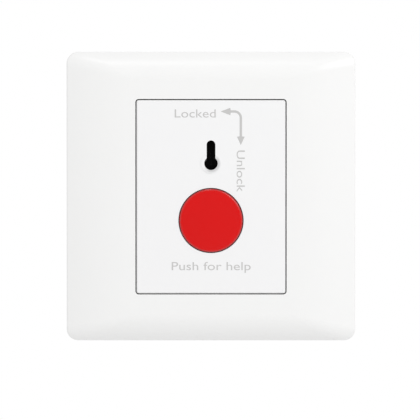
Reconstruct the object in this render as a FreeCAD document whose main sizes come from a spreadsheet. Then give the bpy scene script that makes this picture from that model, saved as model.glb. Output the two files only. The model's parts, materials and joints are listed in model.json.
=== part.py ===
"""Emergency call switch: a wall plate with a latching push button and a key release.

Sizes are in millimetres. Seen from the room, X runs to the right and Z runs up, and Y runs into
the wall. The origin is on the wall face, halfway between the two fixing slots.
"""
import FreeCAD, Part
import math
import os
import re
import Sketcher

Vector = FreeCAD.Vector

SIZES = {
    # Cover frame: the pillow-shaped plate that snaps over everything else
    "cover_width": 86.0,
    "cover_height": 86.0,
    "cover_corner": 3.4,
    "cover_rise": 9.0,
    "cover_lift": 0.3,
    "cover_wall": 2.0,
    "cover_edge": 0.6,
    "end_band": 8.0,
    "end_rim": 5.0,
    "side_band": 19.0,
    "side_rim": 6.0,
    "crown_blend": 6.0,
    "window_width": 45.0,
    "window_height": 58.2,
    "window_corner": 1.0,
    "window_lip": 1.5,
    "window_lip_depth": 2.8,
    "hook_place": 20.0,
    "hook_width": 7.0,
    "hook_wall": 1.3,
    "hook_bite": 0.7,
    "hook_barb": 0.8,
    "hook_gap": 0.3,
    "pry_width": 10.0,
    "pry_depth": 1.6,
    # Mounting plate: screwed to the wall box, holds the insert and the cover
    "bracket_inset": 5.0,
    "bracket_corner": 3.0,
    "bracket_wall": 2.0,
    "bracket_rib": 1.3,
    "bracket_rib_rise": 1.6,
    "opening_gap": 1.5,
    "collar_gap": 0.2,
    "collar_wall": 1.4,
    "collar_clear": 0.2,
    "slot_spacing": 60.3,
    "slot_width": 4.5,
    "slot_length": 7.5,
    "slot_pad": 1.6,
    "slot_pad_rise": 0.5,
    # Front panel: the flat insert with the button hole and the keyhole
    "panel_gap": 0.35,
    "panel_proud": 0.2,
    "panel_wall": 2.0,
    "panel_skirt": 1.4,
    "panel_edge": 0.3,
    "boss_across": 35.0,
    "boss_apart": 48.0,
    "boss_radius": 2.6,
    "catch_width": 8.0,
    "catch_proud": 0.85,
    "catch_depth": 1.0,
    "catch_ramp": 1.4,
    "catch_ahead": 0.9,
    "well_wall": 1.4,
    "well_depth": 3.7,
    "keyhole_radius": 2.0,
    "keyhole_slot": 2.6,
    "keyhole_reach": 6.85,
    "keyhole_lip": 1.0,
    "keyhole_lip_rise": 0.2,
    # Push button: red cap clipped on a plunger
    "button_drop": 7.05,
    "button_radius": 9.45,
    "button_gap": 0.25,
    "button_proud": 0.4,
    "button_dome": 0.6,
    "button_edge": 0.6,
    "button_travel": 3.2,
    "cap_wall": 1.3,
    "cap_depth": 3.4,
    "cap_skirt": 1.4,
    "cap_bead": 0.45,
    "head_radius": 7.75,
    "head_wall": 1.2,
    "stem_radius": 3.8,
    "land_radius": 5.0,
    "land_length": 3.85,
    "rod_radius": 2.5,
    "rod_length": 10.0,
    "rod_nose": 0.8,
    "slide_gap": 0.1,
    "stop_gap": 0.05,
    "return_wire": 0.7,
    "return_radius": 3.7,
    "return_turns": 6.0,
    # Latch plate, held up against the plunger by its spring
    "latch_width": 20.0,
    "latch_wall": 1.2,
    "latch_stand": 1.9,
    "latch_foot": 7.6,
    "latch_shoulder": 8.4,
    "latch_arm": 8.0,
    "latch_room": 1.0,
    "latch_tongue": 1.4,
    "latch_tongue_width": 2.0,
    "latch_side_gap": 0.15,
    "latch_face_gap": 0.2,
    "spring_wire": 0.4,
    "spring_radius": 1.8,
    "spring_turns": 5.0,
    "spring_peg": 1.2,
    "spring_peg_length": 1.6,
    # Key barrel and its cam
    "key_rise": 9.95,
    "barrel_radius": 4.0,
    "barrel_arm": 6.4,
    "barrel_reach": 8.4,
    "barrel_gap": 0.2,
    "keyway_gap": 0.1,
    "keyway_floor": 0.8,
    "shaft_radius": 3.0,
    "shaft_gap": 0.05,
    "tenon": 3.2,
    "tenon_gap": 0.05,
    "cam_radius": 4.42,
    "cam_throw": 1.6,
    "cam_wall": 1.6,
    "cam_clear": 1.1,
    "turn_stop": 1.3,
    "turn_stop_length": 2.8,
    "turn_stop_rise": 3.8,
    "turn_stop_gap": 0.2,
    # Switch housing behind the panel
    "housing_width": 34.0,
    "housing_top": 18.0,
    "housing_bottom": 21.5,
    "housing_corner": 1.5,
    "housing_wall": 1.6,
    "housing_lead": 2.6,
    "housing_depth": 22.1,
    "flange_rim": 0.5,
    "flange_corner": 2.5,
    "guide_wall": 1.4,
    "guide_rise": 0.9,
    "pillar": 4.0,
    "ledge": 1.2,
    "ledge_length": 14.0,
    "pad_width": 2.2,
    "pad_across": 16.0,
    "pad_apart": 12.0,
    "rail": 1.5,
    "rail_length": 13.0,
    # Contact carrier across the housing
    "carrier_depth": 12.4,
    "carrier_wall": 1.6,
    "carrier_gap": 0.2,
    "pot_wall": 1.5,
    "pot_gap": 0.3,
    "pedestal": 1.2,
    "pedestal_width": 5.6,
    # Contacts and terminals
    "terminal_pitch": 11.0,
    "terminal_rise": 10.0,
    "strip_width": 4.0,
    "strip_wall": 0.6,
    "strip_bend": 5.0,
    "strip_gap": 0.1,
    "tab_width": 6.0,
    "tab_reach": 7.3,
    "blade_wall": 0.3,
    "blade_width": 3.6,
    "blade_overhang": 2.2,
    "contact_radius": 1.2,
    "contact_height": 0.8,
    "contact_nose": 0.25,
    "contact_gap": 2.2,
    "rivet_shank": 0.9,
    "rivet_head": 1.7,
    "rivet_head_height": 0.6,
    # Rear cover with its terminal barriers
    "rear_wall": 2.0,
    "rear_lip": 1.1,
    "rear_lip_depth": 1.0,
    "rear_lip_gap": 0.15,
    "post_width": 2.6,
    "post_across": 12.0,
    "post_top": 13.8,
    "post_bottom": 17.0,
    "nut_boss": 4.4,
    "nut_boss_depth": 2.6,
    "barrier": 1.2,
    "barrier_height": 11.0,
    "barrier_rise": 3.5,
    # Screws and washers
    "case_screw": 1.2,
    "case_screw_length": 4.4,
    "case_head": 2.0,
    "case_head_height": 1.3,
    "cover_screw": 1.0,
    "cover_screw_length": 8.0,
    "cover_head": 1.8,
    "cover_head_height": 1.2,
    "cam_screw": 1.0,
    "cam_screw_length": 4.6,
    "cam_head": 2.2,
    "cam_head_height": 1.2,
    "terminal_screw": 1.4,
    "terminal_screw_length": 6.0,
    "terminal_head": 2.6,
    "terminal_head_height": 1.6,
    "washer_width": 5.0,
    "washer_wall": 0.6,
    "washer_gap": 0.2,
    "screw_gap": 0.1,
    "driver_slot": 0.6,
    "driver_depth": 0.7,
    "driver_reach": 0.72,
}

# Depths along Y, worked out from the sizes. Negative is towards the room.
COVER_FRONT = "(-cover_rise)"
COVER_BACK = "(-cover_lift)"
LIP_BACK = "(window_lip_depth - cover_rise)"
BRACKET_FRONT = "(-bracket_wall)"
COLLAR_FRONT = f"({LIP_BACK} + collar_clear)"
PANEL_FRONT = "(-cover_rise - panel_proud)"
PANEL_BACK = f"({PANEL_FRONT} + panel_wall)"
WELL_BACK = f"({PANEL_BACK} + well_depth)"
HOUSING_FRONT = "(-housing_lead)"
HOUSING_FLOOR = "(housing_wall - housing_lead)"
HOUSING_BACK = "(housing_depth - housing_lead)"
CAP_FRONT = f"({PANEL_FRONT} - button_proud)"
CAP_FLOOR = f"({CAP_FRONT} + cap_wall)"
CAP_BACK = f"({CAP_FRONT} + cap_depth)"
HEAD_BACK = f"({CAP_FLOOR} + head_wall)"
LAND_FRONT = f"({HOUSING_FLOOR} + stop_gap)"
LAND_BACK = f"({LAND_FRONT} + land_length)"
ROD_BACK = f"({LAND_BACK} + rod_length)"
LATCH_FRONT = f"({HOUSING_FLOOR} + latch_stand)"
LATCH_BACK = f"({LATCH_FRONT} + latch_wall)"
KEEPER_FRONT = f"({LATCH_BACK} + latch_face_gap)"
CARRIER_FRONT = f"({HOUSING_FLOOR} + carrier_depth)"
CARRIER_BACK = f"({CARRIER_FRONT} + carrier_wall)"
POT_FRONT = f"({LAND_BACK} + button_travel + stop_gap)"
BARREL_FRONT = f"({PANEL_BACK} + barrel_gap)"
BARREL_BACK = f"({HOUSING_FRONT} - barrel_gap)"
KEYWAY_BACK = f"({BARREL_BACK} - keyway_floor)"
CAM_FRONT = f"({LATCH_FRONT} - (cam_wall - latch_wall) / 2)"
CAM_BACK = f"({CAM_FRONT} + cam_wall)"
BLADE_FRONT = f"({CARRIER_BACK} + pedestal)"
BLADE_BACK = f"({BLADE_FRONT} + blade_wall)"
CLOSED_STRIP_BACK = f"({CARRIER_BACK} + strip_wall)"
COMMON_STRIP_BACK = f"({BLADE_BACK} + strip_wall)"
OPEN_STRIP_FRONT = f"({HOUSING_BACK} - strip_wall)"
OPEN_CONTACT_FRONT = f"({BLADE_BACK} + contact_height + contact_gap)"
REAR_BACK = f"({HOUSING_BACK} + rear_wall)"
TAB_BACK = f"({REAR_BACK} + strip_wall)"
WASHER_BACK = f"({TAB_BACK} + washer_wall)"

# Heights and widths, worked out in the same way.
BRACKET_WIDTH = "(cover_width - 2 * bracket_inset)"
BRACKET_HEIGHT = "(cover_height - 2 * bracket_inset)"
OPENING_WIDTH = "(boss_across + 2 * case_head + 2 * opening_gap)"
OPENING_HEIGHT = "(boss_apart + 2 * case_head + 2 * opening_gap)"
FLANGE_WIDTH = "(boss_across + 2 * case_head + 2 * flange_rim)"
FLANGE_HEIGHT = "(boss_apart + 2 * case_head + 2 * flange_rim)"
BUTTON_Z = "(-button_drop)"
KEY_Z = "key_rise"
KEYHOLE_TOP = "(key_rise + keyhole_reach - keyhole_slot / 2)"
PANEL_HALF_WIDTH = "(window_width / 2 - panel_gap)"
PANEL_HALF_HEIGHT = "(window_height / 2 - panel_gap)"
PANEL_CORNER = "(window_corner - panel_gap)"
ROOM_HALF_WIDTH = "(housing_width / 2 - housing_wall)"
ROOM_TOP = "(housing_top - housing_wall)"
ROOM_BOTTOM = "(housing_wall - housing_bottom)"
LATCH_TOP = "(key_rise - cam_radius - cam_clear)"
LATCH_BOTTOM = "(-button_drop - latch_foot)"
PLATE_GAP_RADIUS = "(land_radius + slide_gap)"
STRIP_TOP = "(strip_bend + strip_wall)"
DOME_RADIUS = "(((button_radius - button_edge)^2 + button_dome^2) / (2 * button_dome))"
END_ARC = "((end_band^2 + (cover_rise - end_rim)^2) / (2 * (cover_rise - end_rim)))"
SIDE_ARC = "((side_band^2 + (cover_rise - side_rim)^2) / (2 * (cover_rise - side_rim)))"

BEYOND = 1.0
COIL_STEPS = 12

doc = FreeCAD.newDocument("EmergencyCallSwitch")
sheet = doc.addObject("Spreadsheet::Sheet", "Sizes")
parts = []


def fill_sheet():
    """Write every driving size into the sheet and give its cell an alias."""
    for row, (name, number) in enumerate(SIZES.items(), start=1):
        sheet.set(f"A{row}", name)
        sheet.set(f"B{row}", str(number))
        sheet.setAlias(f"B{row}", name)
    doc.recompute()


def formula(text):
    """Point each size named in a formula at its cell in the sheet."""
    return re.sub(r"[a-z_]+", lambda word: "Sizes." + word[0] if word[0] in SIZES else word[0], text)


def value(text):
    """Work a formula out with the sheet's present numbers."""
    return float(sheet.evalExpression(formula(text)))


def bind(thing, prop, text):
    """Tie a property to a formula of sizes."""
    thing.setExpression(prop, formula(text))


def dimension(sketch, kind, *places, text):
    """Add one driving constraint to a sketch, tied to a formula."""
    number = sketch.addConstraint(Sketcher.Constraint(kind, *places, value(text)))
    bind(sketch, f"Constraints[{number}]", text)


def pin_point(sketch, curve, which, x, y):
    """Fix one point of a curve at x, y from the sketch's origin."""
    dimension(sketch, "DistanceX", -1, 1, curve, which, text=x)
    dimension(sketch, "DistanceY", -1, 1, curve, which, text=y)


def draw_circle(sketch, x, y, radius):
    """Draw a circle held by its centre and radius."""
    circle = Part.Circle(Vector(value(x), value(y), 0), Vector(0, 0, 1), value(radius))
    curve = sketch.addGeometry(circle, False)
    pin_point(sketch, curve, 3, x, y)
    dimension(sketch, "Radius", curve, text=radius)


def short_arc(start, end, radius):
    """Return the short arc from start to end, which turns left when radius is positive."""
    chord = end - start
    half = chord.Length / 2
    rise = math.sqrt(max(radius * radius - half * half, 0.0))
    left = Vector(-chord.y, chord.x, 0).normalize()
    centre = (start + end) / 2 + left * math.copysign(rise, radius)
    first, last = (start, end) if radius > 0 else (end, start)
    turn = [math.atan2(point.y - centre.y, point.x - centre.x) for point in (first, last)]
    circle = Part.Circle(centre, Vector(0, 0, 1), abs(radius))
    return Part.ArcOfCircle(circle, turn[0], turn[1])


def draw_outline(sketch, points):
    """Draw a closed outline. A point's third value is the radius of the arc that leaves it."""
    places = [Vector(value(point[0]), value(point[1]), 0) for point in points]
    curves = []
    for index, point in enumerate(points):
        start, end = places[index], places[(index + 1) % len(points)]
        radius = value(point[2]) if len(point) > 2 else 0.0
        shape = short_arc(start, end, radius) if radius else Part.LineSegment(start, end)
        curves.append((sketch.addGeometry(shape, False), radius))
    for index, (curve, radius) in enumerate(curves):
        following, next_radius = curves[(index + 1) % len(curves)]
        end_point = 1 if radius < 0 else 2
        start_point = 2 if next_radius < 0 else 1
        sketch.addConstraint(Sketcher.Constraint("Coincident", curve, end_point, following, start_point))
    for (curve, radius), point in zip(curves, points):
        pin_point(sketch, curve, 2 if radius < 0 else 1, point[0], point[1])
        if radius:
            dimension(sketch, "Radius", curve, text=point[2].lstrip("-"))


def rectangle(left, right, bottom, top, corner=None):
    """Return the outline of a rectangle, with round corners if a radius is given."""
    if corner is None:
        return [(left, bottom), (right, bottom), (right, top), (left, top)]
    inner_left, inner_right = f"({left} + {corner})", f"({right} - {corner})"
    inner_bottom, inner_top = f"({bottom} + {corner})", f"({top} - {corner})"
    return [
        (inner_left, bottom), (inner_right, bottom, corner),
        (right, inner_bottom), (right, inner_top, corner),
        (inner_right, top), (inner_left, top, corner),
        (left, inner_top), (left, inner_bottom, corner),
    ]


def centred(width, height, corner=None):
    """Return a rectangle about the origin."""
    return rectangle(f"(-{width} / 2)", f"({width} / 2)", f"(-{height} / 2)", f"({height} / 2)", corner)


def slot_along_x(x, z, length, width):
    """Return an obround outline, long along X."""
    reach, half = f"({length} / 2 - {width} / 2)", f"({width} / 2)"
    low, high = f"({z} - {half})", f"({z} + {half})"
    left, right = f"({x} - {reach})", f"({x} + {reach})"
    return [
        (left, low), (right, low, half), (f"({right} + {half})", z, half),
        (right, high), (left, high, half), (f"({left} - {half})", z, half),
    ]


def slot_along_z(x, low, high, width):
    """Return an obround outline whose round ends are centred at low and high."""
    half = f"({width} / 2)"
    left, right = f"({x} - {half})", f"({x} + {half})"
    return [
        (left, high), (left, low, half), (x, f"({low} - {half})", half),
        (right, low), (right, high, half), (x, f"({high} + {half})", half),
    ]


def four_ways(across, apart, rise="0"):
    """Return four places, across along X and apart along Z, about x = 0 and z = rise."""
    return [(f"({sx}{across} / 2)", f"({rise} {sz} {apart} / 2)") for sx in ("-", "") for sz in "-+"]


def circles(places, radius):
    """Return one circle at each place."""
    return [(x, z, radius) for x, z in places]


def squares(places, width):
    """Return one square at each place."""
    half = f"({width} / 2)"
    return [
        rectangle(f"({x} - {half})", f"({x} + {half})", f"({z} - {half})", f"({z} + {half})")
        for x, z in places
    ]


def begin(name, rise=None):
    """Start a sub-part, with its own origin lifted to rise."""
    body = doc.addObject("PartDesign::Body", name)
    body.Label = name
    if rise:
        bind(body, "Placement.Base.z", rise)
    parts.append(body)
    return body


def sketch_on(body, name, place, shapes, plane):
    """Draw shapes on one of the body's origin planes, moved along its axis to place."""
    sketch = body.newObject("Sketcher::SketchObject", f"{body.Label}_{name}_sketch")
    support = next(item for item in body.Origin.OriginFeatures if item.Role == plane)
    sketch.AttachmentSupport = [(support, "")]
    sketch.MapMode = "FlatFace"
    bind(sketch, "AttachmentOffset.Base.z", f"-{place}" if plane == "XZ_Plane" else place)
    for shape in shapes:
        if isinstance(shape, tuple):
            draw_circle(sketch, *shape)
        else:
            draw_outline(sketch, shape)
    return sketch


def volume(body):
    """Return the body's present volume."""
    return body.Shape.Volume if body.Tip and not body.Shape.isNull() else 0.0


def add_feature(body, kind, name, sketch):
    """Make a feature from a sketch."""
    feature = body.newObject(f"PartDesign::{kind}", f"{body.Label}_{name}")
    feature.Profile = sketch
    return feature


def settle(body, name, before, grows):
    """Recompute, and stop if a feature failed to add or remove material."""
    doc.recompute()
    change = volume(body) - before
    if change == 0 or (change > 0) != grows:
        raise ValueError(f"{body.Label}: {name} changed the volume by {change:.4f}")


def pad(body, name, start, end, *shapes, plane="XZ_Plane"):
    """Add the shapes as material from start to end, along the plane's axis."""
    before = volume(body)
    feature = add_feature(body, "Pad", name, sketch_on(body, name, start, shapes, plane))
    bind(feature, "Length", f"({end}) - ({start})")
    feature.Reversed = plane == "XZ_Plane"
    settle(body, name, before, True)
    return feature


def pocket(body, name, start, end, *shapes, plane="XZ_Plane"):
    """Remove the shapes from start to end, along the plane's axis."""
    before = volume(body)
    feature = add_feature(body, "Pocket", name, sketch_on(body, name, start, shapes, plane))
    bind(feature, "Length", f"({end}) - ({start})")
    feature.Reversed = plane != "XZ_Plane"
    settle(body, name, before, False)
    return feature


def turn(body, name, *shapes):
    """Turn profiles, drawn as radius and depth, about the body's own Y axis."""
    before = volume(body)
    sketch = sketch_on(body, name, "0", shapes, "XY_Plane")
    feature = add_feature(body, "Revolution", name, sketch)
    feature.ReferenceAxis = (sketch, ["V_Axis"])
    feature.Angle = 360
    settle(body, name, before, True)
    return feature


def coil_points(radius, wire, length, turns):
    """Return a spring's line in short steps, with its first and last turns closed."""
    steps = round(turns * COIL_STEPS)
    open_turns = turns - 2
    pitch = (length - 3 * wire) / open_turns
    points = []
    for step in range(steps + 1):
        turn_number = step / COIL_STEPS
        closed = min(turn_number, 1) + max(turn_number - turns + 1, 0)
        free = min(max(turn_number - 1, 0), open_turns)
        angle = 2 * math.pi * turn_number
        rise = wire / 2 + closed * wire + free * pitch
        points.append(Vector(radius * math.cos(angle), radius * math.sin(angle), rise))
    return points


def coil(name, radius, wire, length, turns, seat, along_depth):
    """Wind a compression spring up from its seat, from the sheet's numbers."""
    radius, wire, length, turns = (value(text) for text in (radius, wire, length, turns))
    path = Part.makePolygon(coil_points(radius, wire, length, turns))
    corners = [math.pi * (0.5 + index / 3) for index in range(7)]
    section = [Vector(radius + wire / 2 * math.cos(a), 0, wire / 2 * (1 + math.sin(a))) for a in corners]
    spring = doc.addObject("Part::Feature", name)
    spring.Label = name
    spring.Shape = path.makePipeShell([Part.makePolygon(section)], True, False, 1)
    turned = FreeCAD.Rotation(Vector(1, 0, 0), -90 if along_depth else 0)
    spring.Placement = FreeCAD.Placement(Vector(*(value(text) for text in seat)), turned)
    parts.append(spring)


def ease_edges(body, kind, name, prop, text, choose):
    """Fillet or chamfer the edges of the body that choose accepts."""
    base = body.Tip
    names = [f"Edge{i}" for i, edge in enumerate(base.Shape.Edges, start=1) if choose(edge)]
    feature = body.newObject(f"PartDesign::{kind}", f"{body.Label}_{name}")
    feature.Base = (base, names)
    bind(feature, prop, text)
    doc.recompute()
    return feature


def lies_at(edge, depth):
    """Say whether an edge lies wholly at one depth."""
    box = edge.BoundBox
    return abs(box.YMin - depth) < 1e-4 and abs(box.YMax - depth) < 1e-4


def cross_recess(body, places, back, reach):
    """Cut a cross recess into the rear end of each screw head."""
    front = f"({back} - driver_depth)"
    past = f"({back} + {BEYOND})"
    for name, wide, tall in (("slot", reach, "driver_slot / 2"), ("cross", "driver_slot / 2", reach)):
        bars = [
            rectangle(f"({x} - {wide})", f"({x} + {wide})", f"({z} - {tall})", f"({z} + {tall})")
            for x, z in places
        ]
        pocket(body, f"driver_{name}", front, past, *bars)


def screws(name, places, seat, shank, length, head, head_height):
    """Make a set of like screws whose heads sit on a face and point into the room."""
    body = begin(name)
    pad(body, "shank", f"({seat} - {length})", seat, *circles(places, shank))
    pad(body, "head", seat, f"({seat} + {head_height})", *circles(places, head))
    cross_recess(body, places, f"({seat} + {head_height})", f"({head} * driver_reach)")
    return body


def make_cover_frame():
    """The crowned plate: curved bands above and below, gentler slopes at the sides."""
    body = begin("cover_frame")
    half_width, half_height = "(cover_width / 2)", "(cover_height / 2)"
    pad(body, "block", COVER_FRONT, COVER_BACK, centred("cover_width", "cover_height", "cover_corner"))
    past = f"({COVER_FRONT} - {BEYOND})"
    ends = []
    for sign in ("", "-"):
        bulge = "-" + END_ARC if not sign else END_ARC
        inner, rim = f"({sign}({half_height} - end_band))", f"({sign}{half_height})"
        out = f"({sign}({half_height} + {BEYOND}))"
        ends.append([
            (COVER_FRONT, inner, bulge), ("(-end_rim)", rim), ("(-end_rim)", out), (past, out), (past, inner),
        ])
    left, right = f"(-{half_width} - {BEYOND})", f"({half_width} + {BEYOND})"
    pocket(body, "end_bands", left, right, *ends, plane="YZ_Plane")
    sides = []
    for sign in ("", "-"):
        bulge = SIDE_ARC if not sign else "-" + SIDE_ARC
        inner, rim = f"({sign}({half_width} - side_band))", f"({sign}{half_width})"
        out = f"({sign}({half_width} + {BEYOND}))"
        sides.append([
            (inner, COVER_FRONT, bulge), (rim, "(-side_rim)"), (out, "(-side_rim)"),
            (out, past), (inner, past),
        ])
    low, high = f"(-{half_height} - {BEYOND})", f"({half_height} + {BEYOND})"
    pocket(body, "side_bands", low, high, *sides, plane="XY_Plane")
    hollow_out(body)
    blend_creases(body)
    soften_rim(body)
    lip = centred("(window_width + 2 * window_lip)", "(window_height + 2 * window_lip)",
                  "(window_corner + window_lip)")
    pad(body, "window_lip", f"({COVER_FRONT} + cover_wall / 2)", LIP_BACK, lip)
    window = centred("window_width", "window_height", "window_corner")
    pocket(body, "window", past, COVER_BACK, window)
    add_hooks(body)
    pry = rectangle("(-pry_width / 2)", "(pry_width / 2)", f"(-{half_height} - {BEYOND})",
                    f"(-{half_height} + cover_wall + {BEYOND})")
    pocket(body, "pry_notch", f"({COVER_BACK} - pry_depth)", f"({COVER_BACK} + {BEYOND})", pry)


def blend_creases(body):
    """Round the four creases that run in from the corners of the crown."""
    front, corner = value(COVER_FRONT), value("cover_corner")

    def is_crease(edge):
        box = edge.BoundBox
        slants = box.YLength > 0.5 and box.ZLength > 0.5
        return slants and box.XLength > corner and box.YMin < front + 1e-3

    ease_edges(body, "Fillet", "crease_round", "Radius", "crown_blend", is_crease)


def soften_rim(body):
    """Round the edge where the crown meets the outer walls."""
    back, corner = value(COVER_BACK), value("cover_corner")
    half_width, half_height = value("cover_width / 2"), value("cover_height / 2")

    def on_rim(edge):
        box = edge.BoundBox
        along_depth = box.XLength < 1e-3 and box.ZLength < 1e-3
        middle = edge.valueAt((edge.FirstParameter + edge.LastParameter) / 2)
        outside = (
            abs(abs(middle.x) - half_width) < 1e-3
            or abs(abs(middle.z) - half_height) < 1e-3
            or on_corner(middle, half_width, half_height, corner)
        )
        return outside and not along_depth and box.YMax < back - 1e-3

    ease_edges(body, "Fillet", "rim_round", "Radius", "cover_edge", on_rim)


def on_corner(point, half_width, half_height, radius):
    """Say whether a point lies on the round corner of the plate's outline."""
    across = abs(point.x) - (half_width - radius)
    up = abs(point.z) - (half_height - radius)
    return across > -1e-3 and up > -1e-3 and abs(math.hypot(across, up) - radius) < 1e-3


def hollow_out(body):
    """Hollow the crown from behind to an even wall."""
    before = volume(body)
    base = body.Tip
    back = value(COVER_BACK)
    opening = next(
        f"Face{i}" for i, face in enumerate(base.Shape.Faces, start=1)
        if abs(face.BoundBox.YMin - back) < 1e-4 and abs(face.BoundBox.YMax - back) < 1e-4
    )
    shell = body.newObject("PartDesign::Thickness", "cover_frame_shell")
    shell.Base = (base, [opening])
    bind(shell, "Value", "cover_wall")
    shell.Reversed = True
    settle(body, "shell", before, False)


def add_hooks(body):
    """Add the four snap hooks that grip the mounting plate, two above and two below."""
    arms, barbs = [], []
    inner = f"({BRACKET_HEIGHT} / 2 + hook_gap)"
    outer = f"({inner} + hook_wall)"
    tip = f"({BRACKET_HEIGHT} / 2 - hook_bite)"
    for side in ("-", ""):
        left = f"({side}hook_place - hook_width / 2)"
        right = f"({side}hook_place + hook_width / 2)"
        arms += [rectangle(left, right, inner, outer), rectangle(left, right, f"(-{outer})", f"(-{inner})")]
        barbs += [rectangle(left, right, tip, outer), rectangle(left, right, f"(-{outer})", f"(-{tip})")]
    arm_front = f"({COVER_FRONT} + cover_wall)"
    barb_front = f"({COVER_BACK} - hook_barb)"
    pad(body, "hook_arms", arm_front, COVER_BACK, *arms)
    pad(body, "hook_barbs", barb_front, COVER_BACK, *barbs)


def make_mounting_plate():
    """The bracket behind the cover: fixing slots, a collar for the insert and a stiff edge."""
    body = begin("mounting_plate")
    plate = centred(BRACKET_WIDTH, BRACKET_HEIGHT, "bracket_corner")
    opening = centred(OPENING_WIDTH, OPENING_HEIGHT, PANEL_CORNER)
    pad(body, "plate", BRACKET_FRONT, "0", plate, opening)
    rim_front = f"({BRACKET_FRONT} - bracket_rib_rise)"
    rim_inside = centred(f"({BRACKET_WIDTH} - 2 * bracket_rib)", f"({BRACKET_HEIGHT} - 2 * bracket_rib)",
                         "(bracket_corner - bracket_rib)")
    pad(body, "edge_rib", rim_front, BRACKET_FRONT, plate, rim_inside)
    inner_width = f"(2 * ({PANEL_HALF_WIDTH} + collar_gap))"
    inner_height = f"(2 * ({PANEL_HALF_HEIGHT} + collar_gap))"
    collar_inside = centred(inner_width, inner_height, f"({PANEL_CORNER} + collar_gap)")
    collar_outside = centred(f"({inner_width} + 2 * collar_wall)", f"({inner_height} + 2 * collar_wall)",
                             f"({PANEL_CORNER} + collar_gap + collar_wall)")
    pad(body, "collar", COLLAR_FRONT, BRACKET_FRONT, collar_outside, collar_inside)
    fixings = ("(-slot_spacing / 2)", "(slot_spacing / 2)")
    pad_length, pad_width = "(slot_length + 2 * slot_pad)", "(slot_width + 2 * slot_pad)"
    pads = [slot_along_x(x, "0", pad_length, pad_width) for x in fixings]
    pad(body, "slot_pads", f"({BRACKET_FRONT} - slot_pad_rise)", BRACKET_FRONT, *pads)
    slots = [slot_along_x(x, "0", "slot_length", "slot_width") for x in fixings]
    pocket(body, "fixing_slots", f"({BRACKET_FRONT} - slot_pad_rise - {BEYOND})", f"{BEYOND}", *slots)
    cut_hook_notches(body)
    cut_catch_windows(body, inner_height)


def cut_hook_notches(body):
    """Cut the notches in the rear edge that the cover's hooks bite into."""
    notches = []
    for side in ("-", ""):
        left = f"({side}hook_place - hook_width / 2 - hook_gap)"
        right = f"({side}hook_place + hook_width / 2 + hook_gap)"
        inner, outer = f"({BRACKET_HEIGHT} / 2 - hook_bite - hook_gap)", f"({BRACKET_HEIGHT} / 2 + {BEYOND})"
        notches.append(rectangle(left, right, inner, outer))
        notches.append(rectangle(left, right, f"(-{outer})", f"(-{inner})"))
    pocket(body, "hook_notches", f"({COVER_BACK} - hook_barb - hook_gap)", f"{BEYOND}", *notches)


def cut_catch_windows(body, inner_height):
    """Cut the windows in the collar that the insert's catches snap into."""
    left, right = "(-catch_width / 2 - hook_gap)", "(catch_width / 2 + hook_gap)"
    inner, outer = f"({inner_height} / 2 - {BEYOND})", f"({inner_height} / 2 + collar_wall + {BEYOND})"
    windows = [rectangle(left, right, inner, outer), rectangle(left, right, f"(-{outer})", f"(-{inner})")]
    front = f"({BRACKET_FRONT} - catch_ahead - catch_depth - catch_ramp)"
    pocket(body, "catch_windows", front, f"({BRACKET_FRONT} - catch_ahead + collar_clear)", *windows)


def make_front_panel():
    """The flat insert: skirt, button well, keyhole, screw bosses and catches."""
    body = begin("front_panel")
    face = rectangle(f"(-{PANEL_HALF_WIDTH})", PANEL_HALF_WIDTH, f"(-{PANEL_HALF_HEIGHT})",
                     PANEL_HALF_HEIGHT, PANEL_CORNER)
    pad(body, "face", PANEL_FRONT, PANEL_BACK, face)
    front = value(PANEL_FRONT)
    ease_edges(body, "Chamfer", "edge", "Size", "panel_edge", lambda edge: lies_at(edge, front))
    inside_width = f"(2 * ({PANEL_HALF_WIDTH} - panel_skirt))"
    inside_height = f"(2 * ({PANEL_HALF_HEIGHT} - panel_skirt))"
    pad(body, "skirt", PANEL_BACK, BRACKET_FRONT, face, centred(inside_width, inside_height))
    well = "(button_radius + button_gap)"
    pad(body, "button_well", PANEL_BACK, WELL_BACK, ("0", BUTTON_Z, f"({well} + well_wall)"))
    pocket(body, "button_hole", f"({PANEL_FRONT} - {BEYOND})", f"({WELL_BACK} + {BEYOND})",
           ("0", BUTTON_Z, well))
    lip_front = f"({PANEL_FRONT} - keyhole_lip_rise)"
    pad(body, "keyhole_lip", lip_front, PANEL_FRONT, ("0", KEY_Z, "(keyhole_radius + keyhole_lip)"))
    past = f"({lip_front} - {BEYOND})"
    pocket(body, "keyhole_round", past, f"({PANEL_BACK} + {BEYOND})", ("0", KEY_Z, "keyhole_radius"))
    pocket(body, "keyhole_slot", past, f"({PANEL_BACK} + {BEYOND})",
           slot_along_z("0", KEY_Z, KEYHOLE_TOP, "keyhole_slot"))
    places = four_ways("boss_across", "boss_apart")
    pad(body, "bosses", PANEL_BACK, HOUSING_FRONT, *circles(places, "boss_radius"))
    pilot_front = f"({HOUSING_FLOOR} - case_screw_length - screw_gap)"
    pocket(body, "pilot_holes", pilot_front, f"({HOUSING_FRONT} + {BEYOND})",
           *circles(places, "(case_screw + screw_gap / 2)"))
    add_catches(body)


def add_catches(body):
    """Add the ramped catches above and below that hold the insert in its collar."""
    wedges = []
    back = f"({BRACKET_FRONT} - catch_ahead)"
    flat, start = f"({back} - catch_depth)", f"({back} - catch_depth - catch_ramp)"
    for sign in ("", "-"):
        root = f"({sign}({PANEL_HALF_HEIGHT} - panel_skirt / 2))"
        skin, crest = f"({sign}{PANEL_HALF_HEIGHT})", f"({sign}({PANEL_HALF_HEIGHT} + catch_proud))"
        wedges.append([(start, root), (back, root), (back, crest), (flat, crest), (start, skin)])
    pad(body, "catches", "(-catch_width / 2)", "(catch_width / 2)", *wedges, plane="YZ_Plane")


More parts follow.
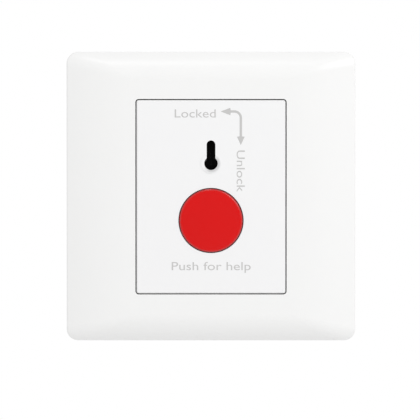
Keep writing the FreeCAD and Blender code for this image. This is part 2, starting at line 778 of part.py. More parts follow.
def make_button():
    """The red cap and the plunger that it clips on, both turned."""
    cap = begin("button_cap", rise=BUTTON_Z)
    rim, inside = "(button_radius - button_edge)", "(button_radius - cap_skirt)"
    bead = f"({inside} - cap_bead)"
    turn(cap, "shell", [
        ("0", CAP_FLOOR), ("0", f"({CAP_FRONT} - button_dome)", DOME_RADIUS), (rim, CAP_FRONT),
        ("button_radius", f"({CAP_FRONT} + button_edge)"), ("button_radius", CAP_BACK), (bead, CAP_BACK),
        (bead, f"({HEAD_BACK} + stop_gap)"), (inside, f"({HEAD_BACK} + stop_gap)"), (inside, CAP_FLOOR),
    ])
    plunger = begin("button_plunger", rise=BUTTON_Z)
    turn(plunger, "body", [
        ("0", CAP_FLOOR), ("head_radius", CAP_FLOOR), ("head_radius", HEAD_BACK), ("stem_radius", HEAD_BACK),
        ("stem_radius", LAND_FRONT), ("land_radius", LAND_FRONT), ("land_radius", LAND_BACK),
        ("rod_radius", LAND_BACK), ("rod_radius", f"({ROD_BACK} - rod_nose)"),
        ("(rod_radius - rod_nose)", ROD_BACK), ("0", ROD_BACK),
    ])
    coil("return_spring", "return_radius", "return_wire", f"{CARRIER_FRONT} - {LAND_BACK}", "return_turns",
         ("0", LAND_BACK, BUTTON_Z), True)


def make_latch():
    """The steel latch plate round the plunger, and the small spring under it."""
    plate = begin("latch_plate")
    half, arm = "(latch_width / 2)", "(latch_arm / 2)"
    shoulder = "(latch_shoulder - button_drop)"
    pad(plate, "blank", LATCH_FRONT, LATCH_BACK, [
        (f"(-{half})", LATCH_BOTTOM), (half, LATCH_BOTTOM), (half, shoulder), (arm, shoulder),
        (arm, LATCH_TOP), (f"(-{arm})", LATCH_TOP), (f"(-{arm})", shoulder), (f"(-{half})", shoulder),
    ])
    tongue = rectangle("(-latch_tongue_width / 2)", "(latch_tongue_width / 2)",
                       f"({LATCH_BOTTOM} - latch_tongue)", LATCH_BOTTOM)
    pad(plate, "tongue", LATCH_FRONT, LATCH_BACK, tongue)
    hole = slot_along_z("0", BUTTON_Z, f"({BUTTON_Z} + latch_room)", f"(2 * {PLATE_GAP_RADIUS})")
    pocket(plate, "hole", f"({LATCH_FRONT} - {BEYOND})", f"({LATCH_BACK} + {BEYOND})", hole)
    coil("latch_spring", "spring_radius", "spring_wire", f"{LATCH_BOTTOM} - {ROOM_BOTTOM}", "spring_turns",
         ("0", f"{LATCH_FRONT} + latch_wall / 2", ROOM_BOTTOM), False)


def make_key_barrel():
    """The barrel that a key turns, its cam and the screw that holds the cam."""
    barrel = begin("key_rotor", rise=KEY_Z)
    pad(barrel, "hub", BARREL_FRONT, BARREL_BACK, ("0", "0", "barrel_radius"))
    arm = slot_along_z("0", "0", "(barrel_reach - barrel_arm / 2)", "barrel_arm")
    pad(barrel, "arm", BARREL_FRONT, BARREL_BACK, arm)
    pad(barrel, "shaft", BARREL_BACK, CAM_FRONT, ("0", "0", "shaft_radius"))
    pad(barrel, "tenon", CAM_FRONT, CAM_BACK, centred("tenon", "tenon"))
    past = f"({BARREL_FRONT} - {BEYOND})"
    pocket(barrel, "keyway_round", past, KEYWAY_BACK, ("0", "0", "(keyhole_radius + keyway_gap)"))
    way = slot_along_z("0", "0", "(keyhole_reach - keyhole_slot / 2)", "(keyhole_slot + 2 * keyway_gap)")
    pocket(barrel, "keyway_slot", past, KEYWAY_BACK, way)
    pilot = "(cam_screw + screw_gap / 2)"
    pocket(barrel, "pilot_hole", f"({CAM_BACK} - cam_screw_length - screw_gap)", f"({CAM_BACK} + {BEYOND})",
           ("0", "0", pilot))
    cam = begin("latch_cam", rise=KEY_Z)
    pad(cam, "disc", CAM_FRONT, CAM_BACK, ("cam_throw", "0", "cam_radius"))
    pocket(cam, "square_hole", f"({CAM_FRONT} - {BEYOND})", f"({CAM_BACK} + {BEYOND})",
           centred("(tenon + 2 * tenon_gap)", "(tenon + 2 * tenon_gap)"))
    screws("cam_screw", [("0", KEY_Z)], CAM_BACK, "cam_screw", "cam_screw_length",
           "cam_head", "cam_head_height")


def make_housing():
    """The black box behind the panel that holds the latch and the contacts."""
    body = begin("switch_housing")
    half = "(housing_width / 2)"
    flange = centred(FLANGE_WIDTH, FLANGE_HEIGHT, "flange_corner")
    pad(body, "flange", HOUSING_FRONT, HOUSING_FLOOR, flange)
    box = rectangle(f"(-{half})", half, "(-housing_bottom)", "housing_top", "housing_corner")
    pad(body, "box", HOUSING_FLOOR, HOUSING_BACK, box)
    room = rectangle(f"(-{ROOM_HALF_WIDTH})", ROOM_HALF_WIDTH, ROOM_BOTTOM, ROOM_TOP)
    pocket(body, "room", HOUSING_FLOOR, f"({HOUSING_BACK} + {BEYOND})", room)
    pad(body, "guide", f"({HOUSING_FRONT} - guide_rise)", HOUSING_FRONT,
        ("0", BUTTON_Z, "(stem_radius + slide_gap + guide_wall)"))
    pocket(body, "stem_hole", f"({HOUSING_FRONT} - guide_rise - {BEYOND})", f"({HOUSING_FLOOR} + {BEYOND})",
           ("0", BUTTON_Z, "(stem_radius + slide_gap)"))
    pocket(body, "shaft_hole", f"({HOUSING_FRONT} - {BEYOND})", f"({HOUSING_FLOOR} + {BEYOND})",
           ("0", KEY_Z, "(shaft_radius + shaft_gap)"))
    pocket(body, "screw_holes", f"({HOUSING_FRONT} - {BEYOND})", f"({HOUSING_FLOOR} + {BEYOND})",
           *circles(four_ways("boss_across", "boss_apart"), "(case_screw + 2 * screw_gap)"))
    add_pillars(body)
    add_latch_guides(body)
    add_turn_stops(body)


def pillar_places():
    """Return the middle of each pillar: low on the left and high on the right."""
    x = f"({ROOM_HALF_WIDTH} - pillar / 2)"
    return [(f"(-{x})", f"({ROOM_BOTTOM} + pillar / 2)"), (x, f"({ROOM_TOP} - pillar / 2)")]


def add_pillars(body):
    """Add the two pillars for the rear cover's screws, and the carrier's ledges."""
    pad(body, "pillars", HOUSING_FLOOR, HOUSING_BACK, *squares(pillar_places(), "pillar"))
    pocket(body, "pillar_holes", f"({HOUSING_BACK} + rear_wall - cover_screw_length - screw_gap)",
           f"({HOUSING_BACK} + {BEYOND})", *circles(pillar_places(), "(cover_screw + screw_gap / 2)"))
    low, high = f"({BUTTON_Z} - ledge_length / 2)", f"({BUTTON_Z} + ledge_length / 2)"
    inner = f"({ROOM_HALF_WIDTH} - ledge)"
    ledges = [
        rectangle(inner, ROOM_HALF_WIDTH, low, high),
        rectangle(f"(-{ROOM_HALF_WIDTH})", f"(-{inner})", low, high),
    ]
    pad(body, "ledges", HOUSING_FLOOR, CARRIER_FRONT, *ledges)


def latch_pads():
    """Return the four spots where the latch plate is kept flat."""
    return four_ways("pad_across", "pad_apart", BUTTON_Z)


def add_latch_guides(body):
    """Add the pads and rails that the latch plate slides on, and the peg in its spring."""
    pad(body, "latch_pads", HOUSING_FLOOR, f"({LATCH_FRONT} - latch_face_gap)",
        *squares(latch_pads(), "pad_width"))
    low, high = f"({BUTTON_Z} - rail_length / 2)", f"({BUTTON_Z} + rail_length / 2)"
    inner, outer = "(latch_width / 2 + latch_side_gap)", "(latch_width / 2 + latch_side_gap + rail)"
    rails = [rectangle(inner, outer, low, high), rectangle(f"(-{outer})", f"(-{inner})", low, high)]
    pad(body, "latch_rails", HOUSING_FLOOR, KEEPER_FRONT, *rails)
    peg = ("0", f"({LATCH_FRONT} + latch_wall / 2)", "spring_peg")
    pad(body, "spring_peg", f"({ROOM_BOTTOM} - housing_wall / 2)", f"({ROOM_BOTTOM} + spring_peg_length)",
        peg, plane="XY_Plane")


def add_turn_stops(body):
    """Add the two ribs on the front that the key barrel's arm stops against."""
    edge = "(barrel_arm / 2 + turn_stop_gap)"
    far = "(barrel_reach - barrel_arm / 2)"
    near = f"({far} - turn_stop_length)"
    upright = rectangle(f"(-{edge} - turn_stop)", f"(-{edge})", f"({KEY_Z} + {near})", f"({KEY_Z} + {far})")
    level = rectangle(f"({near} + barrel_arm / 2)", f"({far} + barrel_arm / 2)",
                      f"({KEY_Z} - {edge} - turn_stop)", f"({KEY_Z} - {edge})")
    pad(body, "turn_stops", f"({HOUSING_FRONT} - turn_stop_rise)", HOUSING_FRONT, upright, level)


def make_carrier():
    """The moulding across the housing that seats the spring and carries the contacts."""
    body = begin("contact_carrier")
    right = f"({ROOM_HALF_WIDTH} - carrier_gap)"
    low, high = f"({ROOM_BOTTOM} + carrier_gap)", f"({ROOM_TOP} - carrier_gap)"
    step_in = f"({ROOM_HALF_WIDTH} - pillar - carrier_gap)"
    step_low, step_high = f"({ROOM_BOTTOM} + pillar + carrier_gap)", f"({ROOM_TOP} - pillar - carrier_gap)"
    pad(body, "plate", CARRIER_FRONT, CARRIER_BACK, [
        (f"(-{step_in})", low), (right, low), (right, step_high), (step_in, step_high),
        (step_in, high), (f"(-{right})", high), (f"(-{right})", step_low), (f"(-{step_in})", step_low),
    ])
    inside = "(return_radius + return_wire / 2 + pot_gap)"
    pad(body, "pot", POT_FRONT, CARRIER_FRONT,
        ("0", BUTTON_Z, f"({inside} + pot_wall)"), ("0", BUTTON_Z, inside))
    pocket(body, "rod_hole", f"({CARRIER_FRONT} - {BEYOND})", f"({CARRIER_BACK} + {BEYOND})",
           ("0", BUTTON_Z, "(rod_radius + slide_gap)"))
    pad(body, "latch_keepers", KEEPER_FRONT, CARRIER_FRONT, *squares(latch_pads(), "pad_width"))
    root = "(-terminal_pitch)"
    pad(body, "blade_pedestal", CARRIER_BACK, BLADE_FRONT,
        *squares([(root, BUTTON_Z)], "pedestal_width"))
    pocket(body, "rivet_hole", f"({CARRIER_FRONT} - {BEYOND})", f"({BLADE_FRONT} + {BEYOND})",
           (root, BUTTON_Z, "rivet_shank"))


def strip_run(x, low):
    """Return the upright run of a terminal strip, from low to its bend."""
    half = "(strip_width / 2)"
    return rectangle(f"({x} - {half})", f"({x} + {half})", low, STRIP_TOP)


def finish_terminal(body, x, front):
    """Add the leg through the rear cover and the tab that takes the screw."""
    half, wide = "(strip_width / 2)", "(tab_width / 2)"
    leg = rectangle(f"({x} - {half})", f"({x} + {half})", "strip_bend", STRIP_TOP)
    pad(body, "leg", front, TAB_BACK, leg)
    tab = rectangle(f"({x} - {wide})", f"({x} + {wide})", "strip_bend", "(strip_bend + tab_reach)")
    pad(body, "tab", REAR_BACK, TAB_BACK, tab)
    pocket(body, "screw_hole", f"({REAR_BACK} - {BEYOND})", f"({TAB_BACK} + {BEYOND})",
           (x, "terminal_rise", "(terminal_screw + screw_gap)"))


def make_terminals():
    """The three brass terminals: common, normally closed and normally open."""
    below = f"({BUTTON_Z} - strip_width / 2)"
    common = begin("common_terminal")
    pad(common, "strip", BLADE_BACK, COMMON_STRIP_BACK, strip_run("(-terminal_pitch)", below))
    pocket(common, "rivet_hole", f"({BLADE_BACK} - {BEYOND})", f"({COMMON_STRIP_BACK} + {BEYOND})",
           ("(-terminal_pitch)", BUTTON_Z, "rivet_shank"))
    finish_terminal(common, "(-terminal_pitch)", BLADE_BACK)
    closed = begin("nc_terminal")
    pad(closed, "strip", CARRIER_BACK, CLOSED_STRIP_BACK, strip_run("terminal_pitch", below))
    pocket(closed, "contact_hole", f"({CARRIER_BACK} - {BEYOND})", f"({CLOSED_STRIP_BACK} + {BEYOND})",
           ("terminal_pitch", BUTTON_Z, "contact_radius"))
    finish_terminal(closed, "terminal_pitch", CARRIER_BACK)
    opened = begin("no_terminal")
    above = f"({BUTTON_Z} + strip_width / 2)"
    half, far = "(strip_width / 2)", "(terminal_pitch + strip_width / 2)"
    pad(opened, "strip", OPEN_STRIP_FRONT, HOUSING_BACK, [
        (f"(-{half})", below), (far, below), (far, above),
        (half, above), (half, STRIP_TOP), (f"(-{half})", STRIP_TOP),
    ])
    pocket(opened, "contact_hole", f"({OPEN_STRIP_FRONT} - {BEYOND})", f"({HOUSING_BACK} + {BEYOND})",
           ("terminal_pitch", BUTTON_Z, "contact_radius"))
    finish_terminal(opened, "0", OPEN_STRIP_FRONT)


def make_contacts():
    """The moving blade, its contact, the two fixed contacts and the rivet."""
    blade = begin("common_blade")
    half = "(blade_width / 2)"
    reach = "(terminal_pitch + blade_overhang)"
    pad(blade, "leaf", BLADE_FRONT, BLADE_BACK,
        rectangle(f"(-{reach})", reach, f"({BUTTON_Z} - {half})", f"({BUTTON_Z} + {half})"))
    pocket(blade, "holes", f"({BLADE_FRONT} - {BEYOND})", f"({BLADE_BACK} + {BEYOND})",
           ("(-terminal_pitch)", BUTTON_Z, "rivet_shank"), ("terminal_pitch", BUTTON_Z, "contact_radius"))
    place = ("terminal_pitch", BUTTON_Z, "contact_radius")
    moving = begin("blade_contact")
    pad(moving, "button", f"({BLADE_FRONT} - contact_nose)", f"({BLADE_BACK} + contact_height)", place)
    closed = begin("nc_contact")
    pad(closed, "button", CARRIER_BACK, f"({BLADE_FRONT} - contact_nose)", place)
    opened = begin("no_contact")
    pad(opened, "button", OPEN_CONTACT_FRONT, HOUSING_BACK, place)
    rivet = begin("blade_rivet")
    at_root = ("(-terminal_pitch)", BUTTON_Z)
    pad(rivet, "shank", CARRIER_FRONT, COMMON_STRIP_BACK, (*at_root, "rivet_shank"))
    pad(rivet, "head", COMMON_STRIP_BACK, f"({COMMON_STRIP_BACK} + rivet_head_height)",
        (*at_root, "rivet_head"))


def terminal_places():
    """Return the middle of each terminal screw."""
    return [(x, "terminal_rise") for x in ("(-terminal_pitch)", "0", "terminal_pitch")]


def make_rear_cover():
    """The lid of the housing, with its terminals' slots, bosses and barriers."""
    body = begin("rear_cover")
    half = "(housing_width / 2)"
    pad(body, "plate", HOUSING_BACK, REAR_BACK,
        rectangle(f"(-{half})", half, "(-housing_bottom)", "housing_top", "housing_corner"))
    inner = f"({ROOM_HALF_WIDTH} - pillar - rear_lip_gap)"
    low, high = f"({ROOM_BOTTOM} + rear_lip_gap)", f"({ROOM_TOP} - rear_lip_gap)"
    lips = [rectangle(f"(-{inner})", inner, low, f"({low} + rear_lip)"),
            rectangle(f"(-{inner})", inner, f"({high} - rear_lip)", high)]
    pad(body, "lips", f"({HOUSING_BACK} - rear_lip_depth)", HOUSING_BACK, *lips)
    posts = [(f"({side}post_across / 2)", z) for side in ("-", "") for z in ("(-post_bottom)", "post_top")]
    pad(body, "posts", CARRIER_BACK, HOUSING_BACK, *squares(posts, "post_width"))
    pad(body, "nut_bosses", f"({HOUSING_BACK} - nut_boss_depth)", HOUSING_BACK,
        *squares(terminal_places(), "nut_boss"))
    walls = []
    edge = f"({half} - barrier / 2)"
    foot, top = "(terminal_rise - barrier_height / 2)", "(terminal_rise + barrier_height / 2)"
    for x in (f"(-{edge})", "(-terminal_pitch / 2)", "(terminal_pitch / 2)", edge):
        walls.append(rectangle(f"({x} - barrier / 2)", f"({x} + barrier / 2)", foot, top))
    pad(body, "barriers", REAR_BACK, f"({REAR_BACK} + barrier_rise)", *walls)
    slots = []
    for x, _ in terminal_places():
        slots.append(rectangle(f"({x} - strip_width / 2 - strip_gap)", f"({x} + strip_width / 2 + strip_gap)",
                               "(strip_bend - strip_gap)", f"({STRIP_TOP} + strip_gap)"))
    pocket(body, "leg_slots", f"({HOUSING_BACK} - {BEYOND})", f"({REAR_BACK} + {BEYOND})", *slots)
    screw_tips = f"({WASHER_BACK} - terminal_screw_length - screw_gap)"
    pocket(body, "terminal_holes", screw_tips, f"({REAR_BACK} + {BEYOND})",
           *circles(terminal_places(), "(terminal_screw + screw_gap / 2)"))
    pocket(body, "corner_holes", f"({HOUSING_BACK} - {BEYOND})", f"({REAR_BACK} + {BEYOND})",
           *circles(pillar_places(), "(cover_screw + 2 * screw_gap)"))


def make_fasteners():
    """The screws and washers, each kind as one set."""
    screws("case_screws", four_ways("boss_across", "boss_apart"), HOUSING_FLOOR,
           "case_screw", "case_screw_length", "case_head", "case_head_height")
    screws("cover_screws", pillar_places(), REAR_BACK,
           "cover_screw", "cover_screw_length", "cover_head", "cover_head_height")
    screws("terminal_screws", terminal_places(), WASHER_BACK,
           "terminal_screw", "terminal_screw_length", "terminal_head", "terminal_head_height")
    washers = begin("terminal_washers")
    plates = squares(terminal_places(), "washer_width")
    holes = circles(terminal_places(), "(terminal_screw + washer_gap)")
    pad(washers, "plates", TAB_BACK, WASHER_BACK, *plates, *holes)


def check_and_export():
    """Stop if anything failed, then write one STEP file for each sub-part."""
    doc.recompute()
    for item in doc.Objects:
        if "Invalid" in item.State or "Error" in item.State:
            raise ValueError(f"{item.Label} failed: {item.State}")
    os.makedirs("parts", exist_ok=True)
    for body in parts:
        if body.Shape.isNull() or not body.Shape.isValid():
            raise ValueError(f"{body.Label} has no valid shape")
        body.Shape.exportStep(f"parts/{body.Label}.step")


fill_sheet()
make_cover_frame()
make_mounting_plate()
make_front_panel()
make_button()
make_latch()
make_key_barrel()
make_housing()
make_carrier()
make_terminals()
make_contacts()
make_rear_cover()
make_fasteners()
check_and_export()
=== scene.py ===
"""Emergency call switch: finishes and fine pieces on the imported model.

The fine pieces are the red cap, the springs, the contact blade and the print on the panel.
Lengths are in metres. Seen from the room, X runs to the right, Z runs up and Y runs into the wall.
"""

import json
import math

import bmesh
import bpy
from bpy.props import FloatProperty, FloatVectorProperty, IntProperty, PointerProperty, StringProperty
from mathutils import Matrix, Vector


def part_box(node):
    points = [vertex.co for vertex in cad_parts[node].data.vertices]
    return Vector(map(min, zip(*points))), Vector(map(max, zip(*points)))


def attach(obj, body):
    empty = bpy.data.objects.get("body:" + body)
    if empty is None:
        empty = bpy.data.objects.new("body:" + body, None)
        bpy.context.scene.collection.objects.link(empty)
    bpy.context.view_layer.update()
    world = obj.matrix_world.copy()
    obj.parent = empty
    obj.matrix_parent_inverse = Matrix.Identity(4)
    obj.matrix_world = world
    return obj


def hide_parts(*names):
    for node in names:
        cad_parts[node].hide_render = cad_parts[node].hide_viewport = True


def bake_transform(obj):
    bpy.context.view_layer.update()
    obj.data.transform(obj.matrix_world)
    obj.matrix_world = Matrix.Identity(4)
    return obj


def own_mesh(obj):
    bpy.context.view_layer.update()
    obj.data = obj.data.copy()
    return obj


bl_info = {
    "name": "Emergency call switch",
    "version": (1, 0, 0),
    "blender": (4, 5, 0),
    "location": "View3D > Sidebar > Call switch",
    "description": "Finishes and fine pieces of a wall-mounted emergency call switch",
    "category": "Object",
}

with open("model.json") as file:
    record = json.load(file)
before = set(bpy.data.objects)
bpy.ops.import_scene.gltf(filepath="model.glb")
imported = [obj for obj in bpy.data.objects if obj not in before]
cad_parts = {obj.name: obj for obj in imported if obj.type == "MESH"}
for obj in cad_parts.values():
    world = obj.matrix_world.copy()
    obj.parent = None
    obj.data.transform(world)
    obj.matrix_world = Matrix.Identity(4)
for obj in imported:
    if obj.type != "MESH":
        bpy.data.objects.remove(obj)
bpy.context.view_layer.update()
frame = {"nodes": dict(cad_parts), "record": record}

QUARTER = math.pi / 2
PRESS_TRAVEL = 0.0032

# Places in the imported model. The panel's lip stands out from its flat face by its rise.
CAP_LOW, CAP_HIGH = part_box("button_cap")
LIP_RISE = 0.0002
PANEL_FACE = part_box("front_panel")[0].y + LIP_RISE
KEY_CENTRE = next(mount["pos_m"] for mount in frame["record"]["mounts"] if mount["name"] == "keyhole")
RETURN_LOW, RETURN_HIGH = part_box("return_spring")
SIDE_LOW, SIDE_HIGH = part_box("latch_spring")
BLADE_LOW, BLADE_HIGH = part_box("common_blade")
TIP_LOW, TIP_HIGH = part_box("blade_contact")
NOSE_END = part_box("button_plunger")[1].y
OPEN_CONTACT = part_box("no_contact")[0].y

# The red cap: how much wider it is than the solid one, how far its bead stands behind its inner
# face, and the steps of its dome and of its rounded edge.
CAP_EXTRA = 0.0001
BEAD_DEPTH = 0.00125
DOME_STEPS = 12
EDGE_STEPS = 6

# The springs: mean radius and thickness of the wire.
RETURN_RADIUS, RETURN_WIRE = 0.0037, 0.0007
LATCH_RADIUS, LATCH_WIRE = 0.0018, 0.0004

# The contact blade, along X: its rivet's hole, the place up to which it is held, and the place
# where its two lengths meet. At full press a small way stays free before the plunger's nose, and
# between the contacts.
RIVET_PLACE = -0.011
RIVET_RADIUS = 0.0009
BLADE_HELD = -0.009
BLADE_JOINT = -0.0026
BLADE_CLEAR = 0.00002
HOLE_STEPS = 48

# The painted shade on the keyhole's right and lower side: the radii between which it fades, the way
# from the keyhole to its middle, and how far round it fades.
KEYHOLE_SHADE_RADII = (0.0024, 0.003)
KEYHOLE_SHADE_WAY = (0.8, 0, -0.6)
KEYHOLE_SHADE_SPREAD = (-0.45, 0.4)

# The print: left end, width and baseline of the level words. The side word is as wide as stated,
# is turned to read downwards and is then moved to its place.
UPPER_PLACE = (-0.0108, 0.0122, 0.02362)
LOWER_PLACE = (-0.0117, 0.0235, -0.02183)
SIDE_WIDTH = 0.0123
SIDE_PLACE = (0.00765, 0, 0.0138)
PRINT_GRAIN = 9000.0
PRINT_SHIFT = 0.06

# The stage: what the camera aims at, the room's light, the floor and the lamps, each with its
# power, its width and its place. The camera sees the floor mostly as a glow.
VIEW_AIM = (-0.0003, PANEL_FACE, -0.00392)
SENSOR_WIDTH = 36.0
ROOM_LIGHT = 0.775
FLOOR_HEIGHT = -0.12
FLOOR_WIDTH = 1.2
FLOOR_GREY = 0.9
FLOOR_GLOW = 1.05
FLOOR_GLOW_SHARE = 0.8
LAMPS = {
    "main_lamp": (2.1, 0.45, (0.45, -0.68, 0.42)),
    "top_lamp": (0.5, 0.2, (-0.1, -0.45, 0.8)),
}


def colour(name, text, value):
    """A colour that the user may change."""
    return FloatVectorProperty(
        name=name, description=text, subtype="COLOR", size=3, min=0.0, max=1.0, default=value
    )


def length(name, text, value):
    """A length that the user may change."""
    return FloatProperty(
        name=name, description=text, unit="LENGTH", subtype="DISTANCE", precision=5, default=value
    )


def share(name, text, value):
    """A share from 0 to 1 that the user may change."""
    return FloatProperty(
        name=name, description=text, subtype="FACTOR", min=0.0, max=1.0, default=value
    )


def wording(name, text, value):
    """Words that the user may change."""
    return StringProperty(name=name, description=text, default=value)


class CallSwitchColours(bpy.types.PropertyGroup):
    """Colours of the switch's plastics, metals and print."""

    cover: colour("Cover white", "Colour of the cover frame", (0.885, 0.885, 0.88))
    panel: colour("Panel white", "Colour of the flat insert", (0.885, 0.884, 0.888))
    bracket: colour("Bracket white", "Colour of the mounting plate", (0.78, 0.78, 0.77))
    button: colour("Button red", "Colour of the push button", (0.68, 0.004, 0.004))
    acetal: colour("Acetal", "Colour of the plunger and the cam", (0.8, 0.79, 0.75))
    housing: colour("Housing black", "Colour of the box behind the panel", (0.022, 0.022, 0.024))
    carrier: colour("Carrier grey", "Colour of the contact carrier", (0.09, 0.095, 0.105))
    # Painted shade: a deeper red laid down the cap's side, where the gap shades it.
    button_side_shade: colour("Button side shade", "Colour of the shade painted down the push button's side", (0.22, 0.004, 0.006))
    barrel: colour("Barrel black", "Colour of the key barrel", (0.004, 0.004, 0.004))
    spring: colour("Spring steel", "Colour of the spring wire", (0.55, 0.56, 0.58))
    plating: colour("Zinc plating", "Colour of the screws and the latch plate", (0.62, 0.63, 0.64))
    brass: colour("Brass", "Colour of the terminals", (0.72, 0.53, 0.24))
    silver: colour("Silver", "Colour of the contacts", (0.84, 0.83, 0.81))
    ink: colour("Print grey", "Colour of the words and the arrow", (0.55, 0.545, 0.54))


class CallSwitchFinish(bpy.types.PropertyGroup):
    """How smooth the surfaces are, and how dark the shade painted by the keyhole is."""

    cover_gloss: share("Cover roughness", "Roughness of the cover and the panel", 0.3)
    button_gloss: share("Button roughness", "Roughness of the red cap", 0.18)
    matte: share("Inner roughness", "Roughness of the hidden mouldings", 0.5)
    metal: share("Metal roughness", "Roughness of the metal pieces", 0.3)
    # Painted shade: how dark the crescent of shade painted by the keyhole is.
    keyhole_shade: share("Keyhole shade", "How dark the shade painted by the keyhole is", 0.3)


class CallSwitchSizes(bpy.types.PropertyGroup):
    """Sizes of the new pieces, and of the view."""

    cap_radius: length("Cap radius", "Radius of the red cap", CAP_HIGH.x + CAP_EXTRA)
    cap_edge: length("Cap edge", "Rounding of the red cap's edge", 0.0008)
    cap_dome: length("Cap dome", "Rise of the cap's face above its edge", 0.0006)
    cap_wall: length("Cap wall", "Thickness of the red cap's face", 0.0013)
    cap_skirt: length("Cap skirt", "Thickness of the red cap's side", 0.0014)
    cap_bead: length("Cap bead", "Inward rise of the bead that holds the cap", 0.00045)
    ink_depth: length("Print depth", "Thickness of the print", 0.00003)
    cap_height: length("Letter height", "Height of a capital letter", 0.0024)
    view_width: length("View width", "Width seen at the panel's face", 0.12495)
    view_distance: length("View distance", "Distance from the camera to the panel", 2.0)
    view_height: FloatProperty(
        name="View height", description="Angle that the camera looks down by", subtype="ANGLE",
        min=-1.5, max=1.5, default=math.radians(2.3),
    )
    smoothness: IntProperty(
        name="Round steps", description="Steps in a full turn of a round piece", min=24, default=144
    )


class CallSwitchWords(bpy.types.PropertyGroup):
    """Words printed on the panel."""

    upper: wording("Upper word", "Word by the arrow's left end", "Locked")
    side: wording("Side word", "Word by the arrow's lower end", "Unlock")
    lower: wording("Lower words", "Words under the push button", "Push for help")


def add_node(tree, kind, inputs=None, **settings):
    """Add a node, with its settings and the values of its inputs."""
    node = tree.nodes.new(kind)
    for name, setting in settings.items():
        setattr(node, name, setting)
    for name, number in (inputs or {}).items():
        node.inputs[name].default_value = number
    return node


def start_group(name, inputs, outputs):
    """Start a shader group with number inputs and outputs, and return its tree and both ends."""
    tree = bpy.data.node_groups.new(name, "ShaderNodeTree")
    for title, default in inputs.items():
        socket = tree.interface.new_socket(title, in_out="INPUT", socket_type="NodeSocketFloat")
        socket.default_value = default
    for title in outputs:
        tree.interface.new_socket(title, in_out="OUTPUT", socket_type="NodeSocketFloat")
    return tree, tree.nodes.new("NodeGroupInput"), tree.nodes.new("NodeGroupOutput")


def shortfall(tree, number, strength):
    """Return by how much a number is below 1, times a strength, kept from 0 to 1."""
    turned = add_node(tree, "ShaderNodeMath", {0: 1.0}, operation="SUBTRACT")
    strong = add_node(tree, "ShaderNodeMath", operation="MULTIPLY", use_clamp=True)
    tree.links.new(number, turned.inputs[1])
    tree.links.new(turned.outputs["Value"], strong.inputs[0])
    tree.links.new(strength, strong.inputs[1])
    return strong.outputs["Value"]


def build_mould_texture(name):
    """Fine spark-eroded grain, and slow clouds for colour and gloss."""
    tree, start, end = start_group(
        name, {"Grain Scale": 7000.0, "Cloud Scale": 120.0}, ["Height", "Cloud"]
    )
    place = add_node(tree, "ShaderNodeTexCoord")
    grain = add_node(tree, "ShaderNodeTexNoise", {"Detail": 3.0, "Roughness": 0.6})
    cloud = add_node(tree, "ShaderNodeTexNoise", {"Detail": 2.0, "Roughness": 0.5})
    link = tree.links.new
    link(place.outputs["Object"], grain.inputs["Vector"])
    link(place.outputs["Object"], cloud.inputs["Vector"])
    link(start.outputs["Grain Scale"], grain.inputs["Scale"])
    link(start.outputs["Cloud Scale"], cloud.inputs["Scale"])
    link(grain.outputs["Fac"], end.inputs["Height"])
    link(cloud.outputs["Fac"], end.inputs["Cloud"])
    return tree


def build_drawn_metal(name):
    """Fine lines left by rolling or drawing, and slow stains in the plating."""
    tree, start, end = start_group(
        name, {"Line Scale": 900.0, "Stretch": 14.0, "Stain Scale": 380.0}, ["Lines", "Stain"]
    )
    place = add_node(tree, "ShaderNodeTexCoord")
    stretch = add_node(tree, "ShaderNodeCombineXYZ", {"X": 1.0, "Y": 1.0})
    squeeze = add_node(tree, "ShaderNodeVectorMath", operation="MULTIPLY")
    lines = add_node(tree, "ShaderNodeTexNoise", {"Detail": 4.0, "Roughness": 0.65})
    stain = add_node(tree, "ShaderNodeTexNoise", {"Detail": 3.0, "Roughness": 0.55})
    link = tree.links.new
    link(start.outputs["Stretch"], stretch.inputs["Z"])
    link(place.outputs["Object"], squeeze.inputs[0])
    link(stretch.outputs["Vector"], squeeze.inputs[1])
    link(squeeze.outputs["Vector"], lines.inputs["Vector"])
    link(place.outputs["Object"], stain.inputs["Vector"])
    link(start.outputs["Line Scale"], lines.inputs["Scale"])
    link(start.outputs["Stain Scale"], stain.inputs["Scale"])
    link(lines.outputs["Fac"], end.inputs["Lines"])
    link(stain.outputs["Fac"], end.inputs["Stain"])
    return tree


def build_rubbed_edge(name):
    """A mask that is 1 along outer edges, where handling polishes them."""
    tree, start, end = start_group(name, {"Width": 0.00025, "Strength": 6.0}, ["Mask"])
    rounded = add_node(tree, "ShaderNodeBevel", samples=6)
    plain = add_node(tree, "ShaderNodeNewGeometry")
    facing = add_node(tree, "ShaderNodeVectorMath", operation="DOT_PRODUCT")
    link = tree.links.new
    link(start.outputs["Width"], rounded.inputs["Radius"])
    link(rounded.outputs["Normal"], facing.inputs[0])
    link(plain.outputs["Normal"], facing.inputs[1])
    link(shortfall(tree, facing.outputs["Value"], start.outputs["Strength"]), end.inputs["Mask"])
    return tree


def build_painted_corner_shade(name):
    """A mask that is 1 deep in slots and corners, where little light comes, for painted shade."""
    tree, start, end = start_group(name, {"Reach": 0.0009, "Strength": 1.3}, ["Mask"])
    open_sky = add_node(tree, "ShaderNodeAmbientOcclusion", samples=8)
    link = tree.links.new
    link(start.outputs["Reach"], open_sky.inputs["Distance"])
    link(shortfall(tree, open_sky.outputs["AO"], start.outputs["Strength"]), end.inputs["Mask"])
    return tree


def place_group(tree, name, build, values):
    """Place a shared group in a material, built once, with that material's own values."""
    group = bpy.data.node_groups.get(name) or build(name)
    return add_node(tree, "ShaderNodeGroup", values, node_tree=group)


def new_material(name, **values):
    """Start a material and return it, its tree and its main shader, with plain values set."""
    material = bpy.data.materials.new(name)
    material.use_nodes = True
    shader = material.node_tree.nodes["Principled BSDF"]
    for title, number in values.items():
        shader.inputs[title.replace("_", " ")].default_value = number
    return material, material.node_tree, shader


